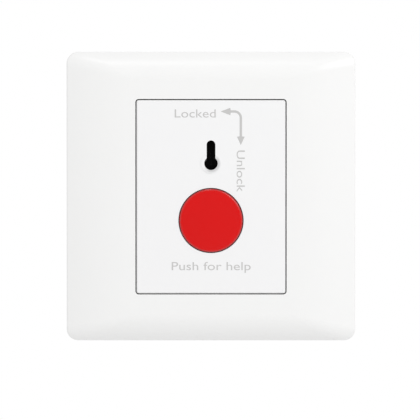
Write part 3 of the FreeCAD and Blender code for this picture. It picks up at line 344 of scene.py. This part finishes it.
def tinted(tree, mask, base, shift):
    """Return a colour that a mask takes from a share darker to a share lighter."""
    dark = (*[channel * (1 - shift) for channel in base], 1.0)
    light = (*[min(channel * (1 + shift), 1.0) for channel in base], 1.0)
    mix = add_node(tree, "ShaderNodeMix", {6: dark, 7: light}, data_type="RGBA")
    tree.links.new(mask, mix.inputs[0])
    return mix.outputs[2]


def laid_over(tree, mask, under, over, **settings):
    """Return the colour that a mask takes from the one under it to the one laid over."""
    mix = add_node(tree, "ShaderNodeMix", {7: (*over, 1.0)}, data_type="RGBA", **settings)
    tree.links.new(mask, mix.inputs[0])
    tree.links.new(under, mix.inputs[6])
    return mix.outputs[2]


def ranged(tree, mask, low, high, start=0.3, end=0.7):
    """Return a number that runs from low to high as a mask runs from start to end."""
    spread = add_node(
        tree, "ShaderNodeMapRange",
        {"From Min": start, "From Max": end, "To Min": low, "To Max": high},
    )
    tree.links.new(mask, spread.inputs["Value"])
    return spread.outputs["Result"]


def add_bump(tree, shader, height, distance):
    """Feed a height into the shader as a bump."""
    bump = add_node(tree, "ShaderNodeBump", {"Strength": 1.0, "Distance": distance})
    tree.links.new(height, bump.inputs["Height"])
    tree.links.new(bump.outputs["Normal"], shader.inputs["Normal"])


def moulded_plastic(
    name, base, roughness, grain=7000.0, depth=0.000004, shift=0.02, rubbed=0.0, **values
):
    """Moulded plastic: fine grain, slow clouds in colour and gloss, and polished edges."""
    material, tree, shader = new_material(name, **values)
    texture = place_group(tree, "mould_texture", build_mould_texture, {"Grain Scale": grain})
    shade = tinted(tree, texture.outputs["Cloud"], base, shift)
    smooth, rough = roughness * 0.92, roughness * 1.1
    gloss = ranged(tree, texture.outputs["Cloud"], smooth, rough)
    if rubbed:
        edge = place_group(tree, "rubbed_edge", build_rubbed_edge, {"Strength": rubbed})
        pale = [min(channel * 2.2 + 0.012, 1.0) for channel in base]
        shade = laid_over(tree, edge.outputs["Mask"], shade, pale)
    tree.links.new(shade, shader.inputs["Base Color"])
    tree.links.new(gloss, shader.inputs["Roughness"])
    add_bump(tree, shader, texture.outputs["Height"], depth)
    return material


def polish_rim_and_shade_side(material, side, edge, width, deep_share=0.5, shine_share=0.14):
    """Polish a cap's rounded edge, and paint shade down its side by running its colour to a deeper
    one.
    """
    tree = material.node_tree
    shader = tree.nodes["Principled BSDF"]
    face = shader.inputs["Base Color"].links[0].from_socket
    place = add_node(tree, "ShaderNodeTexCoord")
    split = add_node(tree, "ShaderNodeSeparateXYZ")
    tree.links.new(place.outputs["Object"], split.inputs["Vector"])
    # Painted shade: the colour runs to the deeper red down the cap's side.
    deep = ranged(tree, split.outputs["Y"], 0.0, 1.0, edge, edge + width * deep_share)
    tree.links.new(laid_over(tree, deep, face, side), shader.inputs["Base Color"])
    shine = ranged(tree, split.outputs["Y"], 0.0, 1.0, edge, edge + width * shine_share)
    tree.links.new(shine, shader.inputs["Coat Weight"])


def shade_by_keyhole(material, centre, inner, outer, depth):
    """Paint shade on a plastic in a crescent on the keyhole's right and lower side."""
    tree = material.node_tree
    shader = tree.nodes["Principled BSDF"]
    unshaded = shader.inputs["Base Color"].links[0].from_socket
    place = add_node(tree, "ShaderNodeTexCoord")
    offset = add_node(tree, "ShaderNodeVectorMath", {1: centre}, operation="SUBTRACT")
    flat = add_node(tree, "ShaderNodeVectorMath", {1: (1, 0, 1)}, operation="MULTIPLY")
    reach = add_node(tree, "ShaderNodeVectorMath", operation="LENGTH")
    way = add_node(tree, "ShaderNodeVectorMath", operation="NORMALIZE")
    side = add_node(tree, "ShaderNodeVectorMath", {1: KEYHOLE_SHADE_WAY}, operation="DOT_PRODUCT")
    shade_mark = add_node(tree, "ShaderNodeMath", operation="MULTIPLY")
    link = tree.links.new
    link(place.outputs["Object"], offset.inputs[0])
    link(offset.outputs["Vector"], flat.inputs[0])
    link(flat.outputs["Vector"], reach.inputs[0])
    link(flat.outputs["Vector"], way.inputs[0])
    link(way.outputs["Vector"], side.inputs[0])
    link(ranged(tree, reach.outputs["Value"], 1.0, 0.0, inner, outer), shade_mark.inputs[0])
    link(ranged(tree, side.outputs["Value"], 0.0, 1.0, *KEYHOLE_SHADE_SPREAD), shade_mark.inputs[1])
    # Painted shade: the panel's colour is darkened in the crescent.
    shaded = laid_over(tree, shade_mark.outputs["Value"], unshaded, [1 - depth] * 3, blend_type="MULTIPLY")
    link(shaded, shader.inputs["Base Color"])


def worked_metal(name, base, roughness, stretch=14.0, shift=0.12, depth=0.000003):
    """Rolled, drawn or plated metal: fine lines, slow stains, bright rubbed edges and painted shade
    in corners.
    """
    material, tree, shader = new_material(name, Metallic=1.0)
    texture = place_group(tree, "drawn_metal", build_drawn_metal, {"Stretch": stretch})
    edge = place_group(tree, "rubbed_edge", build_rubbed_edge, {"Width": 0.00012, "Strength": 4.0})
    # The corner mask carries painted shade.
    corner = place_group(tree, "painted_corner_shade", build_painted_corner_shade, {"Strength": 2.0})
    bright = [min(channel * 1.25, 0.95) for channel in base]
    painted_shade_colour = [channel * 0.22 for channel in base]
    shade = tinted(tree, texture.outputs["Stain"], base, shift)
    shade = laid_over(tree, edge.outputs["Mask"], shade, bright)
    # Painted shade: slots and corners darkened to about a fifth of the colour.
    shade = laid_over(tree, corner.outputs["Mask"], shade, painted_shade_colour)
    tree.links.new(shade, shader.inputs["Base Color"])
    smooth, rough = roughness * 0.75, roughness * 1.3
    tree.links.new(ranged(tree, texture.outputs["Lines"], smooth, rough), shader.inputs["Roughness"])
    add_bump(tree, shader, texture.outputs["Lines"], depth)
    return material


def print_ink(name, base, roughness=0.42, depth=0.000003):
    """Print on a grained moulding: a flat colour that the grain breaks up a little."""
    material, tree, shader = new_material(name, Roughness=roughness)
    texture = place_group(tree, "mould_texture", build_mould_texture, {"Grain Scale": PRINT_GRAIN})
    shade = tinted(tree, texture.outputs["Height"], base, PRINT_SHIFT)
    tree.links.new(shade, shader.inputs["Base Color"])
    add_bump(tree, shader, texture.outputs["Height"], depth)
    return material


def dress(material, *names):
    """Give CAD nodes their finish."""
    for name in names:
        node = frame["nodes"][name]
        if not node.data.materials:
            node.data.materials.append(material)
        for slot in node.material_slots:
            slot.material = material


def new_piece(name, shape, material, body=None):
    """Turn a finished bmesh into a piece that rides on a body, if one is named."""
    mesh = bpy.data.meshes.new(name)
    shape.to_mesh(mesh)
    shape.free()
    mesh.materials.append(material)
    piece = bpy.data.objects.new(name, mesh)
    bpy.context.scene.collection.objects.link(piece)
    if body:
        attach(piece, body)
    return piece


def soften(piece, angle=35.0):
    """Shade a piece smooth, with edges sharper than the angle kept crisp."""
    piece.data.shade_smooth()
    shape = bmesh.new()
    shape.from_mesh(piece.data)
    for edge in shape.edges:
        if len(edge.link_faces) == 2 and edge.calc_face_angle() > math.radians(angle):
            edge.smooth = False
    shape.to_mesh(piece.data)
    shape.free()


def close_up(shape, join=1e-7):
    """Merge doubles and point every face outwards."""
    bmesh.ops.remove_doubles(shape, verts=shape.verts[:], dist=join)
    bmesh.ops.recalc_face_normals(shape, faces=shape.faces[:])


def wind_coil(radius, wire, height, turns, steps=48, sides=14):
    """Wind a compression spring up from z = 0, its first and last turns closed."""
    shape = bmesh.new()
    stand = Matrix.Translation((radius, 0, wire / 2)) @ Matrix.Rotation(QUARTER, 4, "X")
    bmesh.ops.create_circle(shape, segments=sides, radius=wire / 2, matrix=stand)
    last = shape.verts[:] + shape.edges[:]
    open_turns = turns - 2
    pitch = (height - 3 * wire) / open_turns
    for count, rise in ((1, wire), (open_turns, pitch), (1, wire)):
        part_steps = round(count * steps)
        wound = bmesh.ops.spin(
            shape, geom=last, cent=(0, 0, 0), axis=(0, 0, 1),
            dvec=(0, 0, rise * count / part_steps), angle=2 * math.pi * count, steps=part_steps,
        )
        last = wound["geom_last"]
    rims = [edge for edge in shape.edges if edge.is_boundary]
    bmesh.ops.holes_fill(shape, edges=rims, sides=0)
    close_up(shape)
    return shape


def turn_profile(points, steps):
    """Turn a profile, given as radius and depth, about the Y axis."""
    shape = bmesh.new()
    corners = [shape.verts.new((radius, depth, 0)) for radius, depth in points]
    edges = [shape.edges.new(pair) for pair in zip(corners, corners[1:])]
    bmesh.ops.spin(
        shape, geom=corners + edges, cent=(0, 0, 0), axis=(0, 1, 0),
        angle=2 * math.pi, steps=steps, use_merge=True,
    )
    close_up(shape)
    return shape


def cap_profile(sizes):
    """Return the red cap's section, from its apex round the outside to its inner face."""
    front = CAP_LOW.y + sizes.cap_dome
    outer = sizes.cap_radius
    rim = outer - sizes.cap_edge
    curve = (rim**2 + sizes.cap_dome**2) / (2 * sizes.cap_dome)
    spread = math.asin(rim / curve)
    points = []
    for step in range(DOME_STEPS + 1):
        turn = spread * step / DOME_STEPS
        points.append((curve * math.sin(turn), CAP_LOW.y + curve * (1 - math.cos(turn))))
    for step in range(1, EDGE_STEPS + 1):
        turn = QUARTER * step / EDGE_STEPS
        out, back = math.sin(turn), 1 - math.cos(turn)
        points.append((rim + sizes.cap_edge * out, front + sizes.cap_edge * back))
    inside = outer - sizes.cap_skirt
    floor = front + sizes.cap_wall
    shelf = floor + BEAD_DEPTH
    bead = inside - sizes.cap_bead
    points += [(outer, CAP_HIGH.y), (bead, CAP_HIGH.y), (bead, shelf)]
    points += [(inside, shelf), (inside, floor), (0, floor)]
    return points


def grow(shape, edges, matrix):
    """Extrude edges, move the new ones by a matrix and return them."""
    made = bmesh.ops.extrude_edge_only(shape, edges=edges)["geom"]
    corners = [item for item in made if isinstance(item, bmesh.types.BMVert)]
    bmesh.ops.transform(shape, matrix=matrix, verts=corners)
    sides = [item for item in made if isinstance(item, bmesh.types.BMEdge)]
    return [edge for edge in sides if all(vert in corners for vert in edge.verts)]


def head_end(shape, edges, along, width, head_width, head_length, barb=0.00012, point=0.02):
    """End a flat shaft in an arrow head that points along a direction."""
    middle = sum((v.co for v in edges[0].verts), Vector()) / 2
    across = (edges[0].verts[0].co - edges[0].verts[1].co).normalized()

    def widen(ratio, start, shift):
        """Scale across the shaft about a point, then move along it."""
        return (
            Matrix.Translation(start + along * shift)
            @ Matrix.Scale(ratio, 4, across)
            @ Matrix.Translation(-start)
        )

    wide = grow(shape, edges, widen(head_width / width, middle, barb))
    base = middle + along * barb
    tip = grow(shape, wide, widen(point, base, head_length - barb))
    ends = list(tip[0].verts)
    bmesh.ops.pointmerge(shape, verts=ends, merge_co=base + along * (head_length - barb))


def bent_arrow(steps=10):
    """Draw the flat arrow that has a head at both ends and one bend."""
    width, turn_radius = 0.0007, 0.0019
    level, upright, left_end, low_end = 0.0254, 0.00886, 0.00585, 0.018
    low_head, left_head = (0.00228, 0.0026), (0.0022, 0.0030)
    shape = bmesh.new()
    ends = [shape.verts.new((left_end, 0, level + side * width / 2)) for side in (-1, 1)]
    first = shape.edges.new(ends)
    centre = Vector((upright - turn_radius, 0, level - turn_radius))
    run = grow(shape, [first], Matrix.Translation((centre.x - left_end, 0, 0)))
    corner = bmesh.ops.spin(
        shape, geom=run + list(run[0].verts), cent=centre, axis=(0, 1, 0), angle=QUARTER, steps=steps
    )
    run = [item for item in corner["geom_last"] if isinstance(item, bmesh.types.BMEdge)]
    run = grow(shape, run, Matrix.Translation((0, 0, low_end - centre.z)))
    head_end(shape, run, Vector((0, 0, -1)), width, *low_head)
    head_end(shape, [first], Vector((-1, 0, 0)), width, *left_head)
    return shape


def thicken(shape, place, depth):
    """Give a flat shape its thickness, half of it on each side of a place along Y."""
    close_up(shape)
    made = bmesh.ops.extrude_face_region(shape, geom=shape.faces[:])["geom"]
    moved = [item for item in made if isinstance(item, bmesh.types.BMVert)]
    bmesh.ops.translate(shape, vec=(0, depth, 0), verts=moved)
    bmesh.ops.translate(shape, vec=(0, place - depth / 2, 0), verts=shape.verts[:])
    close_up(shape)


def cut_leaf(left, right, hole, radius, steps=24):
    """Return one length of the contact blade, with a round hole and cross cuts to bend at."""
    shape = bmesh.new()
    bmesh.ops.create_grid(shape, x_segments=1, y_segments=1, size=0.5)
    bmesh.ops.delete(shape, geom=shape.faces[:], context="FACES_ONLY")
    width = BLADE_HIGH.z - BLADE_LOW.z
    bmesh.ops.scale(shape, vec=(right - left, width, 1), verts=shape.verts[:])
    bmesh.ops.translate(shape, vec=((left + right) / 2, 0, 0), verts=shape.verts[:])
    middle = Matrix.Translation((hole, 0, 0))
    bmesh.ops.create_circle(shape, segments=HOLE_STEPS, radius=radius, matrix=middle)
    bmesh.ops.triangle_fill(shape, use_beauty=True, edges=shape.edges[:])
    for step in range(1, steps):
        cut = (left + (right - left) * step / steps, 0, 0)
        whole = shape.verts[:] + shape.edges[:] + shape.faces[:]
        bmesh.ops.bisect_plane(shape, geom=whole, plane_co=cut, plane_no=(1, 0, 0))
    bmesh.ops.rotate(shape, verts=shape.verts[:], matrix=Matrix.Rotation(QUARTER, 3, "X"))
    bmesh.ops.translate(shape, vec=(0, 0, (BLADE_LOW.z + BLADE_HIGH.z) / 2), verts=shape.verts[:])
    thicken(shape, (BLADE_LOW.y + BLADE_HIGH.y) / 2, BLADE_HIGH.y - BLADE_LOW.y)
    return shape


def round_contact(middle, radius, height):
    """Return a round contact that stands along Y."""
    shape = bmesh.new()
    lay = Matrix.Translation(middle) @ Matrix.Rotation(QUARTER, 4, "X")
    bmesh.ops.create_cone(
        shape, cap_ends=True, segments=HOLE_STEPS, radius1=radius, radius2=radius,
        depth=height, matrix=lay,
    )
    return shape


def bend(piece, near, near_part, far, far_part):
    """Bake a piece's place into its mesh."""
    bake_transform(piece)


def bending_piece(name, shape, material, slot, *places):
    """Make a smooth piece, with its place baked into its mesh."""
    piece = new_piece(name, shape, material)
    soften(piece)
    bend(piece, *places)
    return piece


def letters(text):
    """Return a flat mesh of the letters, standing in the XZ plane and facing the room."""
    line = bpy.data.curves.new("lettering", "FONT")
    line.body = text
    line.resolution_u = 5
    holder = bpy.data.objects.new("lettering", line)
    mesh = bpy.data.meshes.new_from_object(holder)
    bpy.data.objects.remove(holder)
    bpy.data.curves.remove(line)
    shape = bmesh.new()
    shape.from_mesh(mesh)
    bpy.data.meshes.remove(mesh)
    bmesh.ops.rotate(shape, verts=shape.verts[:], matrix=Matrix.Rotation(QUARTER, 3, "X"))
    return shape


def span(shape, axis):
    """Return the lowest and highest place of a mesh along an axis."""
    places = [vert.co[axis] for vert in shape.verts]
    return min(places), max(places)


def set_word(text, cap_height, start, width, baseline):
    """Set a word to a height and a width, from its left end on its baseline."""
    capital = letters("H")
    low, high = span(capital, 2)
    capital.free()
    shape = letters(text)
    left, right = span(shape, 0)
    scale = (width / (right - left), 1.0, cap_height / (high - low))
    bmesh.ops.translate(shape, vec=(-left, 0, -low), verts=shape.verts[:])
    bmesh.ops.scale(shape, vec=scale, verts=shape.verts[:])
    bmesh.ops.translate(shape, vec=(start, 0, baseline), verts=shape.verts[:])
    return shape


def looks(context):
    """Return the settings for colours and for finish."""
    return context.scene.call_switch_colours, context.scene.call_switch_finish


class CALLSWITCH_OT_cover(bpy.types.Operator):
    """Finish the cover frame and the mounting plate"""

    bl_idname = "call_switch.cover"
    bl_label = "Cover and bracket"

    def execute(self, context):
        colours, finish = looks(context)
        white = moulded_plastic("cover_white", colours.cover, finish.cover_gloss, shift=0.006)
        dress(white, "cover_frame")
        bracket = moulded_plastic(
            "bracket_white", colours.bracket, finish.matte, grain=5000.0, depth=0.000008, shift=0.02
        )
        dress(bracket, "mounting_plate")
        return {"FINISHED"}


class CALLSWITCH_OT_panel(bpy.types.Operator):
    """Finish the flat insert"""

    bl_idname = "call_switch.panel"
    bl_label = "Front panel"

    def execute(self, context):
        colours, finish = looks(context)
        white = moulded_plastic("panel_white", colours.panel, finish.cover_gloss * 1.1, shift=0.005)
        # Painted shade round the keyhole.
        shade_by_keyhole(white, KEY_CENTRE, *KEYHOLE_SHADE_RADII, finish.keyhole_shade)
        dress(white, "front_panel")
        return {"FINISHED"}


class CALLSWITCH_OT_button(bpy.types.Operator):
    """Turn the red cap with its round edge, and finish the plunger"""

    bl_idname = "call_switch.button"
    bl_label = "Push button"

    def execute(self, context):
        colours, finish = looks(context)
        sizes = context.scene.call_switch_sizes
        red = moulded_plastic(
            "button_red", colours.button, finish.button_gloss,
            grain=9000.0, depth=0.000002, shift=0.03,
            Specular_IOR_Level=0.15, Coat_Roughness=0.12,
        )
        # The cap's rounded edge is polished and shade is painted down its side.
        polish_rim_and_shade_side(red, colours.button_side_shade, CAP_LOW.y + sizes.cap_dome, sizes.cap_edge)
        shape = turn_profile(cap_profile(sizes), sizes.smoothness)
        centre = (CAP_LOW.z + CAP_HIGH.z) / 2
        bmesh.ops.translate(shape, vec=(0, 0, centre), verts=shape.verts[:])
        cap = new_piece("red_cap", shape, red, "button")
        soften(cap)
        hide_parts("button_cap")
        acetal = moulded_plastic("plunger_white", colours.acetal, finish.matte * 0.8, shift=0.02)
        dress(acetal, "button_plunger", "latch_cam")
        return {"FINISHED"}


class CALLSWITCH_OT_springs(bpy.types.Operator):
    """Wind the return spring and the latch plate's spring"""

    bl_idname = "call_switch.springs"
    bl_label = "Springs"

    def execute(self, context):
        colours, finish = looks(context)
        steel = worked_metal("spring_steel", colours.spring, finish.metal * 0.8, stretch=1.0)
        height = RETURN_HIGH.y - RETURN_LOW.y
        shape = wind_coil(RETURN_RADIUS, RETURN_WIRE, height, turns=6)
        middle = (CAP_LOW.z + CAP_HIGH.z) / 2
        lay = Matrix.Translation((0, RETURN_LOW.y, middle)) @ Matrix.Rotation(-QUARTER, 4, "X")
        bmesh.ops.transform(shape, matrix=lay, verts=shape.verts[:])
        spring = new_piece("return_coil", shape, steel, "wall_unit")
        soften(spring)
        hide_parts("return_spring")
        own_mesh(spring)
        height = SIDE_HIGH.z - SIDE_LOW.z
        shape = wind_coil(LATCH_RADIUS, LATCH_WIRE, height, turns=5, steps=36, sides=12)
        depth = (SIDE_LOW.y + SIDE_HIGH.y) / 2
        bmesh.ops.translate(shape, vec=(0, depth, SIDE_LOW.z), verts=shape.verts[:])
        small = new_piece("latch_coil", shape, steel, "wall_unit")
        soften(small)
        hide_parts("latch_spring")
        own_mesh(small)
        return {"FINISHED"}


class CALLSWITCH_OT_release(bpy.types.Operator):
    """Finish the key barrel and the latch plate"""

    bl_idname = "call_switch.release"
    bl_label = "Key barrel and latch"

    def execute(self, context):
        colours, finish = looks(context)
        black = moulded_plastic(
            "key_black", colours.barrel, finish.matte * 1.3, shift=0.1, Specular_IOR_Level=0.1
        )
        dress(black, "key_rotor")
        steel = worked_metal("latch_steel", colours.plating, finish.metal * 1.2, stretch=18.0)
        dress(steel, "latch_plate")
        return {"FINISHED"}


class CALLSWITCH_OT_housing(bpy.types.Operator):
    """Finish the switch housing, its rear cover and the contact carrier"""

    bl_idname = "call_switch.housing"
    bl_label = "Switch housing"

    def execute(self, context):
        colours, finish = looks(context)
        black = moulded_plastic(
            "housing_black", colours.housing, finish.matte,
            grain=4200.0, depth=0.00001, shift=0.12, rubbed=2.5,
        )
        dress(black, "switch_housing", "rear_cover")
        grey = moulded_plastic(
            "carrier_grey", colours.carrier, finish.matte,
            grain=4200.0, depth=0.00001, shift=0.08, rubbed=2.0,
        )
        dress(grey, "contact_carrier")
        return {"FINISHED"}


class CALLSWITCH_OT_contacts(bpy.types.Operator):
    """Finish the brass terminals and the silver contacts, and make the contact blade"""

    bl_idname = "call_switch.contacts"
    bl_label = "Contacts"

    def execute(self, context):
        colours, finish = looks(context)
        brass = worked_metal("terminal_brass", colours.brass, finish.metal)
        dress(brass, "common_terminal", "nc_terminal", "no_terminal", "blade_rivet")
        silver = worked_metal("contact_silver", colours.silver, finish.metal * 0.7, stretch=1.0)
        dress(silver, "nc_contact", "no_contact")
        pushed = (PRESS_TRAVEL - (BLADE_LOW.y - NOSE_END) + BLADE_CLEAR) / PRESS_TRAVEL
        closing = (OPEN_CONTACT - TIP_HIGH.y - BLADE_CLEAR) / PRESS_TRAVEL
        held_bend = (BLADE_HELD, 0.0, BLADE_JOINT, pushed)
        free_bend = (BLADE_JOINT, pushed, TIP_HIGH.x, closing)
        radius = (TIP_HIGH.x - TIP_LOW.x) / 2
        middle = (TIP_LOW + TIP_HIGH) / 2
        shape = cut_leaf(BLADE_LOW.x, BLADE_JOINT, RIVET_PLACE, RIVET_RADIUS)
        held_leaf = bending_piece("held_leaf", shape, brass, "terminal_brass", *held_bend)
        shape = cut_leaf(BLADE_JOINT, BLADE_HIGH.x, middle.x, radius)
        free_leaf = bending_piece("free_leaf", shape, brass, "terminal_brass", *free_bend)
        shape = round_contact(middle, radius, TIP_HIGH.y - TIP_LOW.y)
        tip = bending_piece("moving_contact", shape, silver, "contact_silver", *free_bend)
        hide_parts("common_blade")
        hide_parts("common_blade")
        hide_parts("blade_contact")
        return {"FINISHED"}


class CALLSWITCH_OT_fasteners(bpy.types.Operator):
    """Finish the screws and the washers"""

    bl_idname = "call_switch.fasteners"
    bl_label = "Screws and washers"

    def execute(self, context):
        colours, finish = looks(context)
        steel = worked_metal("screw_steel", colours.plating, finish.metal, stretch=1.0)
        dress(steel, "terminal_screws", "terminal_washers")
        dress(steel, "case_screws", "cover_screws", "cam_screw")
        return {"FINISHED"}


class CALLSWITCH_OT_front_print(bpy.types.Operator):
    """Print the arrow and the words on the panel"""

    bl_idname = "call_switch.front_print"
    bl_label = "Front print"

    def execute(self, context):
        colours = context.scene.call_switch_colours
        sizes = context.scene.call_switch_sizes
        words = context.scene.call_switch_words
        ink = print_ink("print_grey", colours.ink)
        pieces = {
            "arrow_sign": bent_arrow(),
            "upper_word": set_word(words.upper, sizes.cap_height, *UPPER_PLACE),
            "lower_words": set_word(words.lower, sizes.cap_height, *LOWER_PLACE),
        }
        side = set_word(words.side, sizes.cap_height, 0.0, SIDE_WIDTH, 0.0)
        bmesh.ops.rotate(side, verts=side.verts[:], matrix=Matrix.Rotation(QUARTER, 3, "Y"))
        bmesh.ops.translate(side, vec=SIDE_PLACE, verts=side.verts[:])
        pieces["side_word"] = side
        for name, shape in pieces.items():
            thicken(shape, PANEL_FACE, sizes.ink_depth)
            new_piece(name, shape, ink, "wall_unit")
        return {"FINISHED"}


def add_lamp(name, power, size, place):
    """Add a soft square lamp that faces the part."""
    light = bpy.data.lights.new(name, "AREA")
    light.energy = power
    light.shape = "SQUARE"
    light.size = size
    lamp = bpy.data.objects.new(name, light)
    lamp.location = place
    lamp.rotation_euler = (-Vector(place)).to_track_quat("-Z", "Y").to_euler()
    bpy.context.scene.collection.objects.link(lamp)


def add_view(sizes):
    """Place the camera in front of the panel and slightly above it."""
    data = bpy.data.cameras.new("front_camera")
    data.sensor_width = SENSOR_WIDTH
    data.lens = data.sensor_width * sizes.view_distance / sizes.view_width
    data.clip_start = 0.01
    camera = bpy.data.objects.new("front_camera", data)
    away = Vector((0, -math.cos(sizes.view_height), math.sin(sizes.view_height)))
    camera.location = Vector(VIEW_AIM) + away * sizes.view_distance
    camera.rotation_euler = (QUARTER - sizes.view_height, 0, 0)
    bpy.context.scene.collection.objects.link(camera)
    bpy.context.scene.camera = camera


def seen_directly(tree):
    """Return a mask that is 1 for what the camera sees, straight, in gloss or through glass."""
    path = add_node(tree, "ShaderNodeLightPath")
    first = add_node(tree, "ShaderNodeMath", operation="ADD", use_clamp=True)
    both = add_node(tree, "ShaderNodeMath", operation="ADD", use_clamp=True)
    tree.links.new(path.outputs["Is Camera Ray"], first.inputs[0])
    tree.links.new(path.outputs["Is Glossy Ray"], first.inputs[1])
    tree.links.new(first.outputs["Value"], both.inputs[0])
    tree.links.new(path.outputs["Is Transmission Ray"], both.inputs[1])
    return both.outputs["Value"]


def light_room(level):
    """Surround the part with even light, and a white room behind it."""
    world = bpy.data.worlds.new("white_room")
    bpy.context.scene.world = world
    world.use_nodes = True
    tree = world.node_tree
    tree.nodes.clear()
    even = add_node(tree, "ShaderNodeBackground", {"Color": (1, 1, 1, 1), "Strength": level})
    white = add_node(tree, "ShaderNodeBackground", {"Color": (1, 1, 1, 1), "Strength": 1.0})
    mix = add_node(tree, "ShaderNodeMixShader")
    out = add_node(tree, "ShaderNodeOutputWorld")
    tree.links.new(seen_directly(tree), mix.inputs["Fac"])
    tree.links.new(even.outputs["Background"], mix.inputs[1])
    tree.links.new(white.outputs["Background"], mix.inputs[2])
    tree.links.new(mix.outputs["Shader"], out.inputs["Surface"])


def lay_floor(height, width):
    """Lay a pale floor below the part, which keeps a soft shadow."""
    grey = (FLOOR_GREY, FLOOR_GREY, FLOOR_GREY, 1.0)
    material, tree, shader = new_material("pale_floor", Roughness=0.9, Base_Color=grey)
    glow = add_node(tree, "ShaderNodeEmission", {"Color": (1, 1, 1, 1), "Strength": FLOOR_GLOW})
    share_seen = add_node(tree, "ShaderNodeMath", {1: FLOOR_GLOW_SHARE}, operation="MULTIPLY")
    mix = add_node(tree, "ShaderNodeMixShader")
    out = tree.nodes["Material Output"]
    tree.links.new(seen_directly(tree), share_seen.inputs[0])
    tree.links.new(share_seen.outputs["Value"], mix.inputs["Fac"])
    tree.links.new(shader.outputs["BSDF"], mix.inputs[1])
    tree.links.new(glow.outputs["Emission"], mix.inputs[2])
    tree.links.new(mix.outputs["Shader"], out.inputs["Surface"])
    shape = bmesh.new()
    bmesh.ops.create_grid(shape, x_segments=1, y_segments=1, size=width / 2)
    bmesh.ops.translate(shape, vec=(0, 0, height), verts=shape.verts[:])
    floor = new_piece("pale_floor", shape, material)


class CALLSWITCH_OT_stage(bpy.types.Operator):
    """Set up the floor, the lamps, the white room and the camera"""

    bl_idname = "call_switch.stage"
    bl_label = "Stage"

    def execute(self, context):
        scene = context.scene
        scene.view_settings.view_transform = "Standard"
        light_room(ROOM_LIGHT)
        lay_floor(FLOOR_HEIGHT, FLOOR_WIDTH)
        for name, lamp in LAMPS.items():
            add_lamp(name, *lamp)
        add_view(scene.call_switch_sizes)
        return {"FINISHED"}


STEPS = (
    CALLSWITCH_OT_cover,
    CALLSWITCH_OT_panel,
    CALLSWITCH_OT_button,
    CALLSWITCH_OT_springs,
    CALLSWITCH_OT_release,
    CALLSWITCH_OT_housing,
    CALLSWITCH_OT_contacts,
    CALLSWITCH_OT_fasteners,
    CALLSWITCH_OT_front_print,
    CALLSWITCH_OT_stage,
)

SETTINGS = {
    "call_switch_colours": CallSwitchColours,
    "call_switch_finish": CallSwitchFinish,
    "call_switch_sizes": CallSwitchSizes,
    "call_switch_words": CallSwitchWords,
}


class CALLSWITCH_PT_sidebar(bpy.types.Panel):
    """Lists the switch's settings and its steps."""

    bl_label = "Call switch"
    bl_idname = "CALLSWITCH_PT_sidebar"
    bl_space_type = "VIEW_3D"
    bl_region_type = "UI"
    bl_category = "Call switch"

    def draw(self, context):
        column = self.layout.column()
        for name, group in SETTINGS.items():
            settings = getattr(context.scene, name)
            for setting in group.__annotations__:
                column.prop(settings, setting)
        for step in STEPS:
            column.operator(step.bl_idname)


def register():
    """Register the settings, the steps and the sidebar."""
    for name, group in SETTINGS.items():
        bpy.utils.register_class(group)
        setattr(bpy.types.Scene, name, PointerProperty(type=group))
    for step in STEPS:
        bpy.utils.register_class(step)
    bpy.utils.register_class(CALLSWITCH_PT_sidebar)


def unregister():
    """Take back all that register added."""
    bpy.utils.unregister_class(CALLSWITCH_PT_sidebar)
    for step in reversed(STEPS):
        bpy.utils.unregister_class(step)
    for name, group in SETTINGS.items():
        delattr(bpy.types.Scene, name)
        bpy.utils.unregister_class(group)


def main():
    """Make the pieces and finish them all."""
    register()
    for step in STEPS:
        family, name = step.bl_idname.split(".")
        getattr(getattr(bpy.ops, family), name)()


if __name__ == "__main__":
    main()
